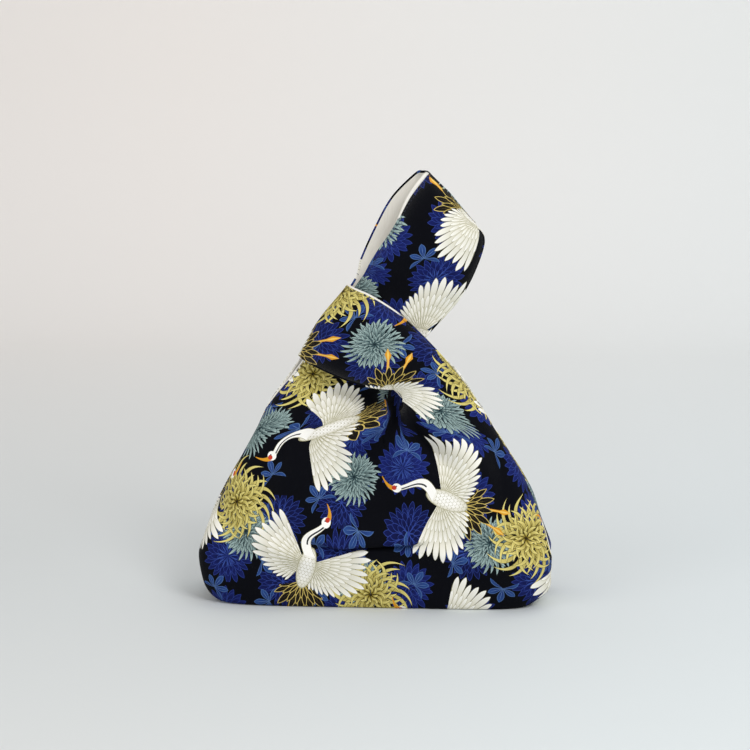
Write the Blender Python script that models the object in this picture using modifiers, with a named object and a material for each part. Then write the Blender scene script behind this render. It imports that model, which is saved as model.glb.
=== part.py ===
"""Knot bag: a lined cotton wrist bag with one long and one short strap.

The bag is cut like a tank top. Its long strap is passed through the loop of its short strap, so the
mouth is closed and the long strap stands above it as a wrist loop. It is made of four panels of cloth:
an outer and a lining panel at the front, and the same at the back. Each panel is one sheet, which takes
in half of the boxed base, one wall and one half of each strap.

Units are metres, +Z is up, the bag stands on Z = 0 and its front faces -Y.
"""

from math import cos, pi, sin, sqrt

import bmesh
import bpy
import numpy as np

# Body: the boxed base, the belly just above it and the level of the mouth
FOOT_LENGTH = 0.226
FOOT_DEPTH = 0.080
BELLY_LENGTH = 0.260
BELLY_DEPTH = 0.088
BELLY_HEIGHT = 0.035
MOUTH_LENGTH = 0.168
MOUTH_DEPTH = 0.062
MOUTH_HEIGHT = 0.140
FOOT_SQUARENESS = 6.0
MOUTH_SQUARENESS = 2.5

# Mouth between the roots of the two straps, right of the middle
NECK_PLACE = 0.0165
NECK_WIDTH = 0.015

# Short strap, a ring round the long strap. Its fold line leans to the right.
BAND_WIDTH = 0.063
BAND_LEAN = 0.975
FOLD_REACH = 0.057
FOLD_RISE = 0.038
RING_DEPTH = 0.052
RING_SAG = 0.004
# Where the ring starts: the lower edge beside the mouth, the upper edge beside the side seam
RING_LOWER_START = (-0.003, 0.016)
RING_UPPER_START = (-0.021, 0.028)
# Stations along the ring: share of the way to the fold, share of the ring's depth at which the lower
# and the upper edge lie in front of the middle, and how far the cloth swells between them
RING_STATIONS = (
    (0.0, 0.56, 0.15, 0.004),
    (0.24, 0.55, 0.27, 0.004),
    (0.50, 0.47, 0.30, 0.004),
    (0.76, 0.36, 0.29, 0.003),
    (0.93, 0.23, 0.22, 0.001),
    (1.0, 0.0, 0.0, 0.0),
)

# Long strap, which passes through the ring and stands as the wrist loop
LOOP_HEIGHT = 0.314
LOOP_WIDTH = 0.070
LOOP_FACET = 0.020
LOOP_DEPTH = 0.026
LOOP_REACH = 0.082
STRAP_INSET = 0.007
STRAP_SWELL = 0.003
# A crease runs along the strap at this share of its width, and the cloth beyond it turns back
CREASE_SHARE = 0.76
# Where the strap's mouth edge goes into the ring and comes out of it, from the mouth and the fold
ENTRY_PLACE = (-0.003, 0.024)
EXIT_PLACE = (0.022, -0.034)
# Shares of half the loop's depth at which the two edges lie in the ring and the mouth edge in the loop
ENTRY_DEPTHS = (0.22, 1.15)
EXIT_DEPTHS = (0.25, 0.50)
EDGE_DEPTHS = {-1: -0.45, 1: 0.62}
# The back layer's armhole edge stands out further to the left than the front layer's
BACK_LAG = 0.013
# Stations of the wrist loop. Each point is a share of the loop's width (for the armhole edge) or of the
# facet's width (for the crease and the mouth edge) left of the reach, and a share of the loop's rise.
# Then come the share of the back layer's lag, of the depth, and the swell.
LOOP_STATIONS = (
    ((1.20, 0.22), (1.10, -0.01), (0.75, -0.06), 0.6, 0.92, 0.002),
    ((1.00, 0.50), (0.80, 0.36), (0.00, 0.33), 1.0, 1.00, 0.001),
    ((0.79, 0.77), (1.00, 0.60), (0.30, 0.52), 0.6, 0.82, 0.0),
)
# The seam on top: share of the loop's width left of the reach, and drop below the top
TOP_SEAM = ((0.66, 0.0), (0.44, 0.014), (0.17, 0.036))

# Cloth and the room left between neighbouring layers
OUTER_THICKNESS = 0.0008
LINING_THICKNESS = 0.0006
LAYER_GAP = 0.0003
SEAM_GAP = 0.0003

# Faces of each panel's grid
LONG_COLUMNS = 8
NECK_COLUMNS = 2
SHORT_COLUMNS = 7
BASE_ROWS = 4
BELLY_ROWS = 3
WALL_ROWS = 7
LONG_ROWS = 21
SHORT_ROWS = 12
# A narrow last row next to the seam that ends a strap, as a share of the span between stations
SEAM_ROW = 0.12
# How far below the mouth's level a strap's columns already run along the wall
ROOT = 0.012

FRONT, BACK = -1, 1
SECTION_SAMPLES = 240
WELD = 0.00005
ON_SEAM = 1e-7


def panel_materials():
    """One Principled material for the printed cotton and one for the plain lining."""
    looks = {
        "printed_cotton": ((0.012, 0.016, 0.07, 1.0), 0.85),
        "plain_cotton": ((0.78, 0.74, 0.68, 1.0), 0.9),
    }
    made = {}
    for name, (colour, roughness) in looks.items():
        material = bpy.data.materials.new(name)
        material.use_nodes = True
        shader = material.node_tree.nodes["Principled BSDF"]
        shader.inputs["Base Color"].default_value = colour
        shader.inputs["Roughness"].default_value = roughness
        shader.inputs["Metallic"].default_value = 0.0
        made[name] = material
    return made


def wall_size(height):
    """Half length, half depth and squareness of the body's outline at a height above the base."""
    if height < BELLY_HEIGHT:
        drop = 1.0 - height / BELLY_HEIGHT
        tuck = 1.0 - sqrt(1.0 - drop * drop)
        half_length = (BELLY_LENGTH - (BELLY_LENGTH - FOOT_LENGTH) * tuck) / 2
        half_depth = (BELLY_DEPTH - (BELLY_DEPTH - FOOT_DEPTH) * tuck) / 2
        return half_length, half_depth, FOOT_SQUARENESS
    rise = (height - BELLY_HEIGHT) / (MOUTH_HEIGHT - BELLY_HEIGHT)
    swell = 0.5 * (1.0 - rise) + 0.5 * cos(pi / 2 * rise)
    half_length = (MOUTH_LENGTH + (BELLY_LENGTH - MOUTH_LENGTH) * swell) / 2
    half_depth = (MOUTH_DEPTH + (BELLY_DEPTH - MOUTH_DEPTH) * (1.0 - rise)) / 2
    squareness = MOUTH_SQUARENESS + (FOOT_SQUARENESS - MOUTH_SQUARENESS) * (1.0 - rise) ** 2
    return half_length, half_depth, squareness


def outline(half_length, half_depth, squareness, share, side):
    """Point on half of a rounded outline. Share runs from -1 at the left seam to 1 at the right one."""
    turn = np.linspace(0.0, pi, SECTION_SAMPLES + 1)
    bend = 2.0 / squareness
    x = -half_length * np.sign(np.cos(turn)) * np.abs(np.cos(turn)) ** bend
    y = half_depth * np.abs(np.sin(turn)) ** bend
    y[-1] = 0.0
    length = np.concatenate([[0.0], np.cumsum(np.hypot(np.diff(x), np.diff(y)))])
    at = (share + 1.0) / 2 * length[-1]
    return np.interp(at, length, x), side * np.interp(at, length, y)


def wall_point(height, share, side):
    half_length, half_depth, squareness = wall_size(height)
    x, y = outline(half_length, half_depth, squareness, share, side)
    return np.array((x, y, height))


def base_point(inset, share, side):
    """Point of the flat base, on an outline that lies inset from the base's edge."""
    half_length = FOOT_LENGTH / 2 - inset
    x, y = outline(half_length, FOOT_DEPTH / 2 - inset, FOOT_SQUARENESS, share, side)
    return np.array((x, y, 0.0))


def share_at(x):
    """Share of the mouth's outline at which it has this X."""
    half_length, half_depth, squareness = wall_size(MOUTH_HEIGHT)
    shares = np.linspace(-1.0, 1.0, SECTION_SAMPLES + 1)
    places = [outline(half_length, half_depth, squareness, share, FRONT)[0] for share in shares]
    return float(np.interp(x, places, shares))


def column_shares():
    """Shares of the panel's columns. The neck's edges fall on two of them."""
    left = share_at(NECK_PLACE - NECK_WIDTH / 2)
    right = share_at(NECK_PLACE + NECK_WIDTH / 2)
    return np.concatenate([
        np.linspace(-1.0, left, LONG_COLUMNS + 1),
        np.linspace(left, right, NECK_COLUMNS + 1)[1:],
        np.linspace(right, 1.0, SHORT_COLUMNS + 1)[1:],
    ])


def smooth_path(points, count):
    """Points along a Catmull-Rom curve. The first and last of the given points only set its ends."""
    path = []
    spans = len(points) - 3
    places = list(np.linspace(0.0, spans, count + 1))
    places.insert(-1, spans - SEAM_ROW)
    for at in places:
        span = min(int(at), spans - 1)
        t = at - span
        a, b, c, d = points[span:span + 4]
        path.append(
            0.5 * (2 * b + (c - a) * t + (2 * a - 5 * b + 4 * c - d) * t**2
                   + (3 * b - a - 3 * c + d) * t**3)
        )
    return path


def across(low, crease, high, swell, share, side):
    """Point across a strap: straight from low to the crease, then on to high, swelling outwards."""
    if share < CREASE_SHARE:
        point = low + (crease - low) * (share / CREASE_SHARE)
    else:
        point = crease + (high - crease) * ((share - CREASE_SHARE) / (1.0 - CREASE_SHARE))
    return point + np.array((0.0, side * swell * 4 * share * (1 - share), 0.0))


def mirrored(point):
    return point * np.array((1.0, -1.0, 1.0))


def fold_line():
    """Lower and upper end of the fold at which the ring turns from the front to the back."""
    low = np.array((-FOLD_REACH, 0.0, MOUTH_HEIGHT + FOLD_RISE))
    return low, low + BAND_WIDTH * np.array((cos(BAND_LEAN), 0.0, sin(BAND_LEAN)))


def between(low, high, share):
    return low + (high - low) * share


def loop_stations(side, base, rise):
    """Stations of the wrist loop between the ring and the seam on top."""
    edge_y = EDGE_DEPTHS[side] * LOOP_DEPTH / 2
    lag = BACK_LAG if side == BACK else 0.0
    stations = []
    for low, crease, high, lag_share, depth_share, swell in LOOP_STATIONS:
        y = side * depth_share * LOOP_DEPTH / 2
        low_x = LOOP_REACH - low[0] * LOOP_WIDTH - lag_share * lag
        stations.append((
            np.array((low_x, y, base + low[1] * rise)),
            np.array((LOOP_REACH - crease[0] * LOOP_FACET, y, base + crease[1] * rise)),
            np.array((LOOP_REACH - high[0] * LOOP_FACET, edge_y, base + high[1] * rise)),
            swell,
        ))
    return stations


def long_strap_stations(side):
    """Armhole edge, crease, mouth edge and swell of each station from the ring to the seam on top."""
    fold_low, fold_high = fold_line()
    depth = side * LOOP_DEPTH / 2
    entry_low = fold_low + np.array((STRAP_INSET, depth * ENTRY_DEPTHS[0], 0.0))
    entry_high = np.array((NECK_PLACE + ENTRY_PLACE[0], depth * ENTRY_DEPTHS[1],
                           MOUTH_HEIGHT + ENTRY_PLACE[1]))
    exit_low = fold_high + np.array((STRAP_INSET, depth * EXIT_DEPTHS[0], 0.0))
    exit_high = np.array((NECK_PLACE + EXIT_PLACE[0], depth * EXIT_DEPTHS[1],
                          fold_high[2] + EXIT_PLACE[1]))
    stations = [
        (low, between(low, high, CREASE_SHARE), high, STRAP_SWELL)
        for low, high in ((entry_low, entry_high), (exit_low, exit_high))
    ]
    stations += loop_stations(side, fold_high[2], LOOP_HEIGHT - fold_high[2])
    top = [
        np.array((LOOP_REACH - share * LOOP_WIDTH, 0.0, LOOP_HEIGHT - drop))
        for share, drop in TOP_SEAM
    ]
    stations.append((*top, 0.0))
    return stations


def short_strap_stations(side):
    """Lower edge, crease, upper edge and swell of each station from the mouth to the ring's fold."""
    fold_low, fold_high = fold_line()
    mouth_right = NECK_PLACE + NECK_WIDTH / 2
    lower_start = np.array((mouth_right + RING_LOWER_START[0], 0.0, MOUTH_HEIGHT + RING_LOWER_START[1]))
    upper_start = np.array((MOUTH_LENGTH / 2 + RING_UPPER_START[0], 0.0,
                            MOUTH_HEIGHT + RING_UPPER_START[1]))
    stations = []
    for way, lower_depth, upper_depth, swell in RING_STATIONS:
        sag = RING_SAG * sin(pi * way)
        lower = between(lower_start, fold_low, way) + np.array((0.0, side * lower_depth * RING_DEPTH, -sag))
        upper = between(upper_start, fold_high, way) + np.array((0.0, side * upper_depth * RING_DEPTH, sag))
        stations.append((lower, between(lower, upper, CREASE_SHARE), upper, swell))
    return stations


def strap_path(stations, share, body_share, side, rows):
    """One column of a strap, from the body to the seam that ends the strap."""
    points = [wall_point(height, body_share, side) for height in (MOUTH_HEIGHT - ROOT, MOUTH_HEIGHT)]
    points += [across(*station, share, side) for station in stations]
    points.append(mirrored(points[-2]))
    return smooth_path(points, rows)


def strap_rows(stations, shares, side, rows):
    """A strap's grid of points, row by row. Its columns start at these shares of the mouth's outline."""
    columns = len(shares) - 1
    paths = [
        strap_path(stations, column / columns, share, side, rows)
        for column, share in enumerate(shares)
    ]
    return [list(row) for row in zip(*paths)]


def body_rows(shares, side):
    """Rows of points from the seam along the middle of the base up to the mouth."""
    insets = np.linspace(FOOT_DEPTH / 2, 0.0, BASE_ROWS + 1)[:-1]
    rows = [[base_point(inset, share, side) for share in shares] for inset in insets]
    heights = [BELLY_HEIGHT * (1.0 - cos(turn)) for turn in np.linspace(0.0, pi / 2, BELLY_ROWS + 1)]
    heights += list(np.linspace(BELLY_HEIGHT, MOUTH_HEIGHT, WALL_ROWS + 1)[1:])
    rows += [[wall_point(height, share, side) for share in shares] for height in heights]
    return rows


def panel_patches(side):
    """The panel's three grids of points: its body and its two straps."""
    shares = column_shares()
    return (
        body_rows(shares, side),
        strap_rows(long_strap_stations(side), shares[:LONG_COLUMNS + 1], side, LONG_ROWS),
        strap_rows(short_strap_stations(side), shares[LONG_COLUMNS + NECK_COLUMNS:], side, SHORT_ROWS),
    )


def add_patch(sheet, rows):
    """Adds a flat grid to the sheet and lays its points where the cloth lies."""
    columns = len(rows[0])
    made = bmesh.ops.create_grid(sheet, x_segments=columns - 1, y_segments=len(rows) - 1, size=1.0)
    for vertex, point in zip(made["verts"], [point for row in rows for point in row]):
        vertex.co = point


def panel_sheet(side):
    """The open sheet of a panel, halfway between the outer cloth and the lining."""
    sheet = bmesh.new()
    for rows in panel_patches(side):
        add_patch(sheet, rows)
    bmesh.ops.remove_doubles(sheet, verts=sheet.verts, dist=WELD)
    if side == BACK:
        bmesh.ops.reverse_faces(sheet, faces=sheet.faces)
    bmesh.ops.triangulate(sheet, faces=sheet.faces, quad_method="SHORT_EDGE")
    sheet.normal_update()
    return sheet


def offset_sheet(sheet, distance, side):
    """Moves the sheet along its normals, which lie in the middle plane where the seams are."""
    moves = []
    for vertex in sheet.verts:
        normal = vertex.normal.copy()
        if abs(vertex.co.y) < ON_SEAM:
            normal.y = 0.0
            normal.normalize()
        moves.append(normal * distance)
    for vertex, move in zip(sheet.verts, moves):
        vertex.co += move
        vertex.co.y += side * SEAM_GAP / 2
        vertex.co.z += LAYER_GAP / 2 + OUTER_THICKNESS


def add_panel(name, side, inner_face, thickness, material, collection):
    """One panel of cloth: the sheet at its inner face, thickened outwards."""
    sheet = panel_sheet(side)
    offset_sheet(sheet, inner_face, side)
    mesh = bpy.data.meshes.new(name)
    sheet.to_mesh(mesh)
    sheet.free()
    mesh.materials.append(material)
    panel = bpy.data.objects.new(name, mesh)
    collection.objects.link(panel)
    shell = panel.modifiers.new("cloth", "SOLIDIFY")
    shell.thickness = thickness
    shell.offset = 1.0
    return panel


def clear_scene():
    for item in list(bpy.data.objects):
        bpy.data.objects.remove(item, do_unlink=True)


def main():
    clear_scene()
    collection = bpy.data.collections.new("knot_bag")
    bpy.context.scene.collection.children.link(collection)
    materials = panel_materials()
    for word, side in (("front", FRONT), ("back", BACK)):
        add_panel(f"outer_{word}_panel", side, LAYER_GAP / 2, OUTER_THICKNESS,
                  materials["printed_cotton"], collection)
        add_panel(f"lining_{word}_panel", side, -LAYER_GAP / 2 - LINING_THICKNESS, LINING_THICKNESS,
                  materials["plain_cotton"], collection)


main()
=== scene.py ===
# %% [markdown]
# # A knot bag of printed cotton
# This lesson builds a small knot bag: a cotton bag that is cut like a tank top, with one long and one
# short strap. The long strap goes through the loop of the short strap, which closes the mouth, and
# then stands above the knot as a wrist loop.
# The bag could be pushed and pulled into shape by hand, but a sewn bag is easier to believe when it is
# made as a tailor makes it: flat cloth is laid where the finished bag has it, and then it is creased.
# First the engineering model is loaded as a fixed frame, because it says where each panel of cloth is.

from math import cos, pi, radians, sin, sqrt

import bmesh
import bpy
import numpy as np
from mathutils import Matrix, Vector, kdtree, noise


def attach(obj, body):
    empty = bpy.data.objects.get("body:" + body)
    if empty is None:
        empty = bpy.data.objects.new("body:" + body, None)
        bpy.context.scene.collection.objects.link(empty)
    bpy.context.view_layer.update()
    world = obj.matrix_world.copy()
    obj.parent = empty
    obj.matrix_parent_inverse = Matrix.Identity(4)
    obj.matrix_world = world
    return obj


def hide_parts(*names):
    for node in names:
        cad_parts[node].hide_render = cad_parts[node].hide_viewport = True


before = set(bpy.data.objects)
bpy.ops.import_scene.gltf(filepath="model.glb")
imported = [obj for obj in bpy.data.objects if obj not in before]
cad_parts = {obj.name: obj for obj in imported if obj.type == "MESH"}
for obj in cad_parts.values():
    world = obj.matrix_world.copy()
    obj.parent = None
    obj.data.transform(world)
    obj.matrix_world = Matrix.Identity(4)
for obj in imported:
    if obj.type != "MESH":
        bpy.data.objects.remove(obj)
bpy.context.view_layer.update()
MM = 0.001

# %% [markdown]
# # Where the cloth lies
# The panels of the frame were laid by a few sizes and functions. The same ones lay the finer cloth
# here, so that each new panel stands exactly where its plain model does. The body of the bag has a
# rounded rectangular outline that tapers from the boxed base to the mouth.

# %% Sizes and outline of the body
FOOT_LENGTH, FOOT_DEPTH = 0.226, 0.080
BELLY_LENGTH, BELLY_DEPTH, BELLY_HEIGHT = 0.260, 0.088, 0.035
MOUTH_LENGTH, MOUTH_DEPTH, MOUTH_HEIGHT = 0.168, 0.062, 0.140
FOOT_SQUARENESS, MOUTH_SQUARENESS = 6.0, 2.5
OUTLINE_POINTS = 241
FRONT, BACK = -1, 1


def wall_size(height):
    """Half length, half depth and squareness of the body's outline at a height above the base."""
    if height < BELLY_HEIGHT:
        drop = 1.0 - height / BELLY_HEIGHT
        tuck = 1.0 - sqrt(1.0 - drop * drop)
        half_length = (BELLY_LENGTH - (BELLY_LENGTH - FOOT_LENGTH) * tuck) / 2
        half_depth = (BELLY_DEPTH - (BELLY_DEPTH - FOOT_DEPTH) * tuck) / 2
        return half_length, half_depth, FOOT_SQUARENESS
    rise = (height - BELLY_HEIGHT) / (MOUTH_HEIGHT - BELLY_HEIGHT)
    swell = 0.5 * (1.0 - rise) + 0.5 * cos(pi / 2 * rise)
    half_length = (MOUTH_LENGTH + (BELLY_LENGTH - MOUTH_LENGTH) * swell) / 2
    half_depth = (MOUTH_DEPTH + (BELLY_DEPTH - MOUTH_DEPTH) * (1.0 - rise)) / 2
    squareness = MOUTH_SQUARENESS + (FOOT_SQUARENESS - MOUTH_SQUARENESS) * (1.0 - rise) ** 2
    return half_length, half_depth, squareness


def outline(half_length, half_depth, squareness, shares, side):
    """Points on half of a rounded outline, at shares from -1 at the left seam to 1 at the right one."""
    turn = np.linspace(0.0, pi, OUTLINE_POINTS)
    bend = 2.0 / squareness
    x = -half_length * np.sign(np.cos(turn)) * np.abs(np.cos(turn)) ** bend
    y = half_depth * np.abs(np.sin(turn)) ** bend
    y[-1] = 0.0
    length = np.concatenate([[0.0], np.cumsum(np.hypot(np.diff(x), np.diff(y)))])
    at = (np.asarray(shares) + 1.0) / 2 * length[-1]
    return np.interp(at, length, x), side * np.interp(at, length, y)


def wall_row(height, shares, side):
    """A row of points round half of the body, at one height."""
    x, y = outline(*wall_size(height), shares, side)
    return np.stack([x, y, np.full(len(x), height)], axis=1)


def base_row(inset, shares, side):
    """A row of points of the flat base, on an outline that lies inset from the base's edge."""
    x, y = outline(FOOT_LENGTH / 2 - inset, FOOT_DEPTH / 2 - inset, FOOT_SQUARENESS, shares, side)
    return np.stack([x, y, np.zeros(len(x))], axis=1)


print("belly outline:", [round(v, 3) for v in wall_size(BELLY_HEIGHT)])

# %% [markdown]
# # The straps
# A strap is a strip of cloth, so it is given by stations along its way. Each station says where the
# two edges of the strip are, and a crease between them, and a smooth curve is run through the
# stations. The short strap is a ring that closes round the long one, and the long strap rises through
# it, turns over at the top and comes down again behind.

# %% Stations of the straps
# The neck is the short piece of the mouth between the roots of the two straps
NECK_PLACE, NECK_WIDTH = 0.0165, 0.015
# The ring's band: its width, its lean in radians, and how far left and how high its fold stands
BAND_WIDTH, BAND_LEAN, FOLD_REACH, FOLD_RISE = 0.063, 0.960, 0.0555, 0.040
RING_DEPTH, RING_SAG = 0.052, 0.004
RING_LOWER_START, RING_UPPER_START = (-0.003, 0.016), (-0.021, 0.028)
# Share of the way to the fold, depth shares of the lower and the upper edge, and the swell
RING_STATIONS = (
    (0.0, 0.56, 0.15, 0.004),
    (0.24, 0.55, 0.27, 0.004),
    (0.50, 0.47, 0.30, 0.004),
    (0.76, 0.36, 0.29, 0.003),
    (0.93, 0.23, 0.22, 0.001),
    (1.0, 0.0, 0.0, 0.0),
)
LOOP_HEIGHT, LOOP_WIDTH, LOOP_FACET, LOOP_DEPTH, LOOP_REACH = 0.314, 0.070, 0.020, 0.026, 0.0795
STRAP_INSET, STRAP_SWELL, CREASE_SHARE = {FRONT: 0.006, BACK: 0.0025}, 0.003, 0.76
# Where the long strap enters the ring below and leaves it above, and its edges' shares of depth there
ENTRY_PLACE, EXIT_PLACE = {FRONT: (-0.003, 0.024), BACK: (0.006, 0.024)}, (0.023, -0.035)
ENTRY_DEPTHS, EXIT_DEPTHS = (0.22, 1.15), (0.25, 0.50)
# Depth share of the loop's mouth edge, and the station's depth share below which it closes towards
# the top
EDGE_DEPTHS, EDGE_CLOSES = {FRONT: -0.45, BACK: 0.62}, 0.72
# The back half of the wrist loop hangs this much further left than the front half
BACK_LAG = 0.014
# Armhole edge, crease and mouth edge of each station, then the shares of lag and depth, and the swell
LOOP_STATIONS = (
    ((1.16, 0.22), (1.10, -0.01), (0.75, -0.06), 0.67, 0.92, 0.002),
    ((0.95, 0.50), (0.80, 0.36), (0.03, 0.37), 0.98, 1.00, 0.001),
    ((0.77, 0.77), (1.00, 0.60), (0.30, 0.52), 0.99, 0.82, 0.0),
    ((0.59, 0.975), (1.32, 0.815), (0.42, 0.56), 0.69, 0.36, 0.0),
)
# The seam on top: share of the loop's width from its right end, and drop below its top in metres
TOP_SEAM = ((0.65, 0.0), (0.42, 0.014), (0.14, 0.036))
# The ring's upper edge stands higher in front than behind, so that it hides the lining there. It is
# highest a little past the middle of its way.
RING_UPPER_RISE, RISE_SKEW = {FRONT: 0.0062, BACK: -0.005}, 1.15
print("stations along the ring:", len(RING_STATIONS), "and along the wrist loop:", len(LOOP_STATIONS))

# %% Across a strap


def across(low, crease, high, swell, share, side):
    """Point across a strap: straight from low to the crease, then on to high, swelling outwards."""
    if share < CREASE_SHARE:
        point = low + (crease - low) * (share / CREASE_SHARE)
    else:
        point = crease + (high - crease) * ((share - CREASE_SHARE) / (1.0 - CREASE_SHARE))
    return point + np.array((0.0, side * swell * 4 * share * (1 - share), 0.0))


def fold_line():
    """Lower and upper end of the fold at which the ring turns from the front to the back."""
    low = np.array((-FOLD_REACH, 0.0, MOUTH_HEIGHT + FOLD_RISE))
    return low, low + BAND_WIDTH * np.array((cos(BAND_LEAN), 0.0, sin(BAND_LEAN)))


def between(low, high, share):
    return low + (high - low) * share


print("the ring's fold in mm:", [(end / MM).round(1).tolist() for end in fold_line()])

# %% Stations from the sizes


def long_strap_stations(side):
    """Armhole edge, crease, mouth edge and swell of each station from the ring to the seam on top."""
    fold_low, fold_high = fold_line()
    depth = side * LOOP_DEPTH / 2
    entry_low = fold_low + np.array((STRAP_INSET[side], depth * ENTRY_DEPTHS[0], 0.0))
    entry_high = np.array((NECK_PLACE + ENTRY_PLACE[side][0], depth * ENTRY_DEPTHS[1],
                           MOUTH_HEIGHT + ENTRY_PLACE[side][1]))
    exit_low = fold_high + np.array((STRAP_INSET[side], depth * EXIT_DEPTHS[0], 0.0))
    exit_high = np.array((NECK_PLACE + EXIT_PLACE[0], depth * EXIT_DEPTHS[1],
                          fold_high[2] + EXIT_PLACE[1]))
    stations = [(low, between(low, high, CREASE_SHARE), high, STRAP_SWELL)
                for low, high in ((entry_low, entry_high), (exit_low, exit_high))]
    edge_y = EDGE_DEPTHS[side] * LOOP_DEPTH / 2
    lag = BACK_LAG if side == BACK else 0.0
    base, rise = fold_high[2], LOOP_HEIGHT - fold_high[2]
    for low, crease, high, lag_share, depth_share, swell in LOOP_STATIONS:
        y = side * depth_share * LOOP_DEPTH / 2
        low_x = LOOP_REACH - low[0] * LOOP_WIDTH - lag_share * lag
        stations.append((
            np.array((low_x, y, base + low[1] * rise)),
            np.array((LOOP_REACH - crease[0] * LOOP_FACET, y, base + crease[1] * rise)),
            np.array((LOOP_REACH - high[0] * LOOP_FACET, edge_y * min(1.0, depth_share / EDGE_CLOSES),
                      base + high[1] * rise)),
            swell,
        ))
    top = [np.array((LOOP_REACH - share * LOOP_WIDTH, 0.0, LOOP_HEIGHT - drop))
           for share, drop in TOP_SEAM]
    return stations + [(*top, 0.0)]


def short_strap_stations(side):
    """Lower edge, crease, upper edge and swell of each station from the mouth to the ring's fold."""
    fold_low, fold_high = fold_line()
    lower_start = np.array((NECK_PLACE + NECK_WIDTH / 2 + RING_LOWER_START[0], 0.0,
                            MOUTH_HEIGHT + RING_LOWER_START[1]))
    upper_start = np.array((MOUTH_LENGTH / 2 + RING_UPPER_START[0], 0.0,
                            MOUTH_HEIGHT + RING_UPPER_START[1]))
    stations = []
    for way, lower_depth, upper_depth, swell in RING_STATIONS:
        sag = RING_SAG * sin(pi * way)
        lower = between(lower_start, fold_low, way) + np.array((0.0, side * lower_depth * RING_DEPTH, -sag))
        rise = sag + RING_UPPER_RISE[side] * sin(pi * way**RISE_SKEW)
        upper = between(upper_start, fold_high, way) + np.array((0.0, side * upper_depth * RING_DEPTH, rise))
        stations.append((lower, between(lower, upper, CREASE_SHARE), upper, swell))
    return stations


print("stations:", len(long_strap_stations(FRONT)), "long,", len(short_strap_stations(FRONT)), "short")

# %% [markdown]
# # Grids of cloth
# Each panel is three flat grids: the body, the long strap and the short strap. Their columns follow
# the threads that run up the cloth and their rows the threads across it. Rows and columns stand
# closer together beside the seams, where the cloth turns in sharply.
# On the real bag the seam on top of the wrist loop lies a few millimetres in front of the fold, and
# the ring's seam is hidden at the back, so one panel runs past the fold and the other stops short.

# %% Columns
# Spacing of the columns, the closer one beside a seam, and about half the length of a wall at the belly
STEP, SEAM_STEP, HALF_WALL = 0.0042, 0.0013, 0.174


def share_at(x):
    """Share of the mouth's outline at which it has this X."""
    shares = np.linspace(-1.0, 1.0, 401)
    return float(np.interp(x, outline(*wall_size(MOUTH_HEIGHT), shares, FRONT)[0], shares))


def close_ends(values, near):
    """Adds one value close to each end of a row of values."""
    return np.concatenate([values[:1], [values[0] + near], values[1:-1], [values[-1] - near], values[-1:]])


def column_shares():
    """Shares of the columns of the long strap, the neck and the short strap."""
    edges = (-1.0, share_at(NECK_PLACE - NECK_WIDTH / 2), share_at(NECK_PLACE + NECK_WIDTH / 2), 1.0)
    parts = []
    for left, right in zip(edges, edges[1:]):
        count = max(4, round((right - left) * HALF_WALL / STEP))
        parts.append(close_ends(np.linspace(left, right, count + 1), SEAM_STEP / HALF_WALL))
    return parts


SHARES = column_shares()
print("columns:", [len(part) for part in SHARES])

# %% [markdown]
# # Curves along the straps
# Every column of a strap is a smooth curve through the stations. It could be one of Blender's curve
# objects, but a Catmull-Rom curve is one line of code, passes through each station, and gives its
# points at once. At the fold the curve of one panel goes on as that of the other.

# %% A strap's grid
# A strap's curves take their first direction from the wall this far below the mouth
ROOT = 0.012
# Share of a station between the last two rows
LAST_ROWS = 0.08


def curve_point(points, at):
    """Point of a Catmull-Rom curve. The first and last of the given points only set its ends."""
    span = min(int(at), len(points) - 4)
    t = at - span
    a, b, c, d = points[span:span + 4]
    return 0.5 * (2 * b + (c - a) * t + (2 * a - 5 * b + 4 * c - d) * t**2 + (3 * b - a - 3 * c + d) * t**3)


def strap_grid(stations_of, shares, side, shift, count):
    """A strap's grid of points. It runs past the fold by shift, or stops short of it."""
    fractions = (shares - shares[0]) / (shares[-1] - shares[0])
    columns = {}
    for layer in (FRONT, BACK):
        roots = [wall_row(height, shares, layer) for height in (MOUTH_HEIGHT - ROOT, MOUTH_HEIGHT)]
        stations = stations_of(layer)
        columns[layer] = [[root[column] for root in roots]
                          + [across(*station, fraction, layer) for station in stations]
                          for column, fraction in enumerate(fractions)]
    # Both curves of a column end at the fold, and each points on towards the other
    for own, other in zip(columns[FRONT], columns[BACK]):
        own_last, other_last = own[-2], other[-2]
        own.append(other_last)
        other.append(own_last)
    spans = len(columns[FRONT][0]) - 3
    end = spans + shift
    places = list(np.linspace(0.0, end, count + 1))
    places.insert(-1, end - LAST_ROWS)
    rows = [[curve_point(columns[side][column], at) if at <= spans
             else curve_point(columns[-side][column], 2 * spans - at)
             for column in range(len(shares))] for at in places]
    return np.array(rows)


print("half way between two stations:", curve_point((0.0, 0.0, 1.0, 1.0), 0.5))

# %% [markdown]
# # The body's grid
# The body could be laid from evenly spaced rows, but cloth needs more of them where it bends. They
# stand closest beside the seam along the base, round the lower edge, and where the slack cloth of the
# front hangs over itself. Between the straps the edge of the mouth is moved by the knot.

# %% Rows of the body
# Rows stand close together up to here, because the tuck in the front lies below
CLOSE_ROWS_TOP = 0.062
# How deep the knot's draw reaches below the neck, how far it pulls the neck in and lifts it
NECK_DEEP = 0.026
NECK_PULL, NECK_RISE = {FRONT: 0.026, BACK: 0.0}, {FRONT: 0.020, BACK: 0.008}


def smooth_step(low, high, value):
    t = min(1.0, max(0.0, (value - low) / (high - low)))
    return t * t * (3 - 2 * t)


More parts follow.
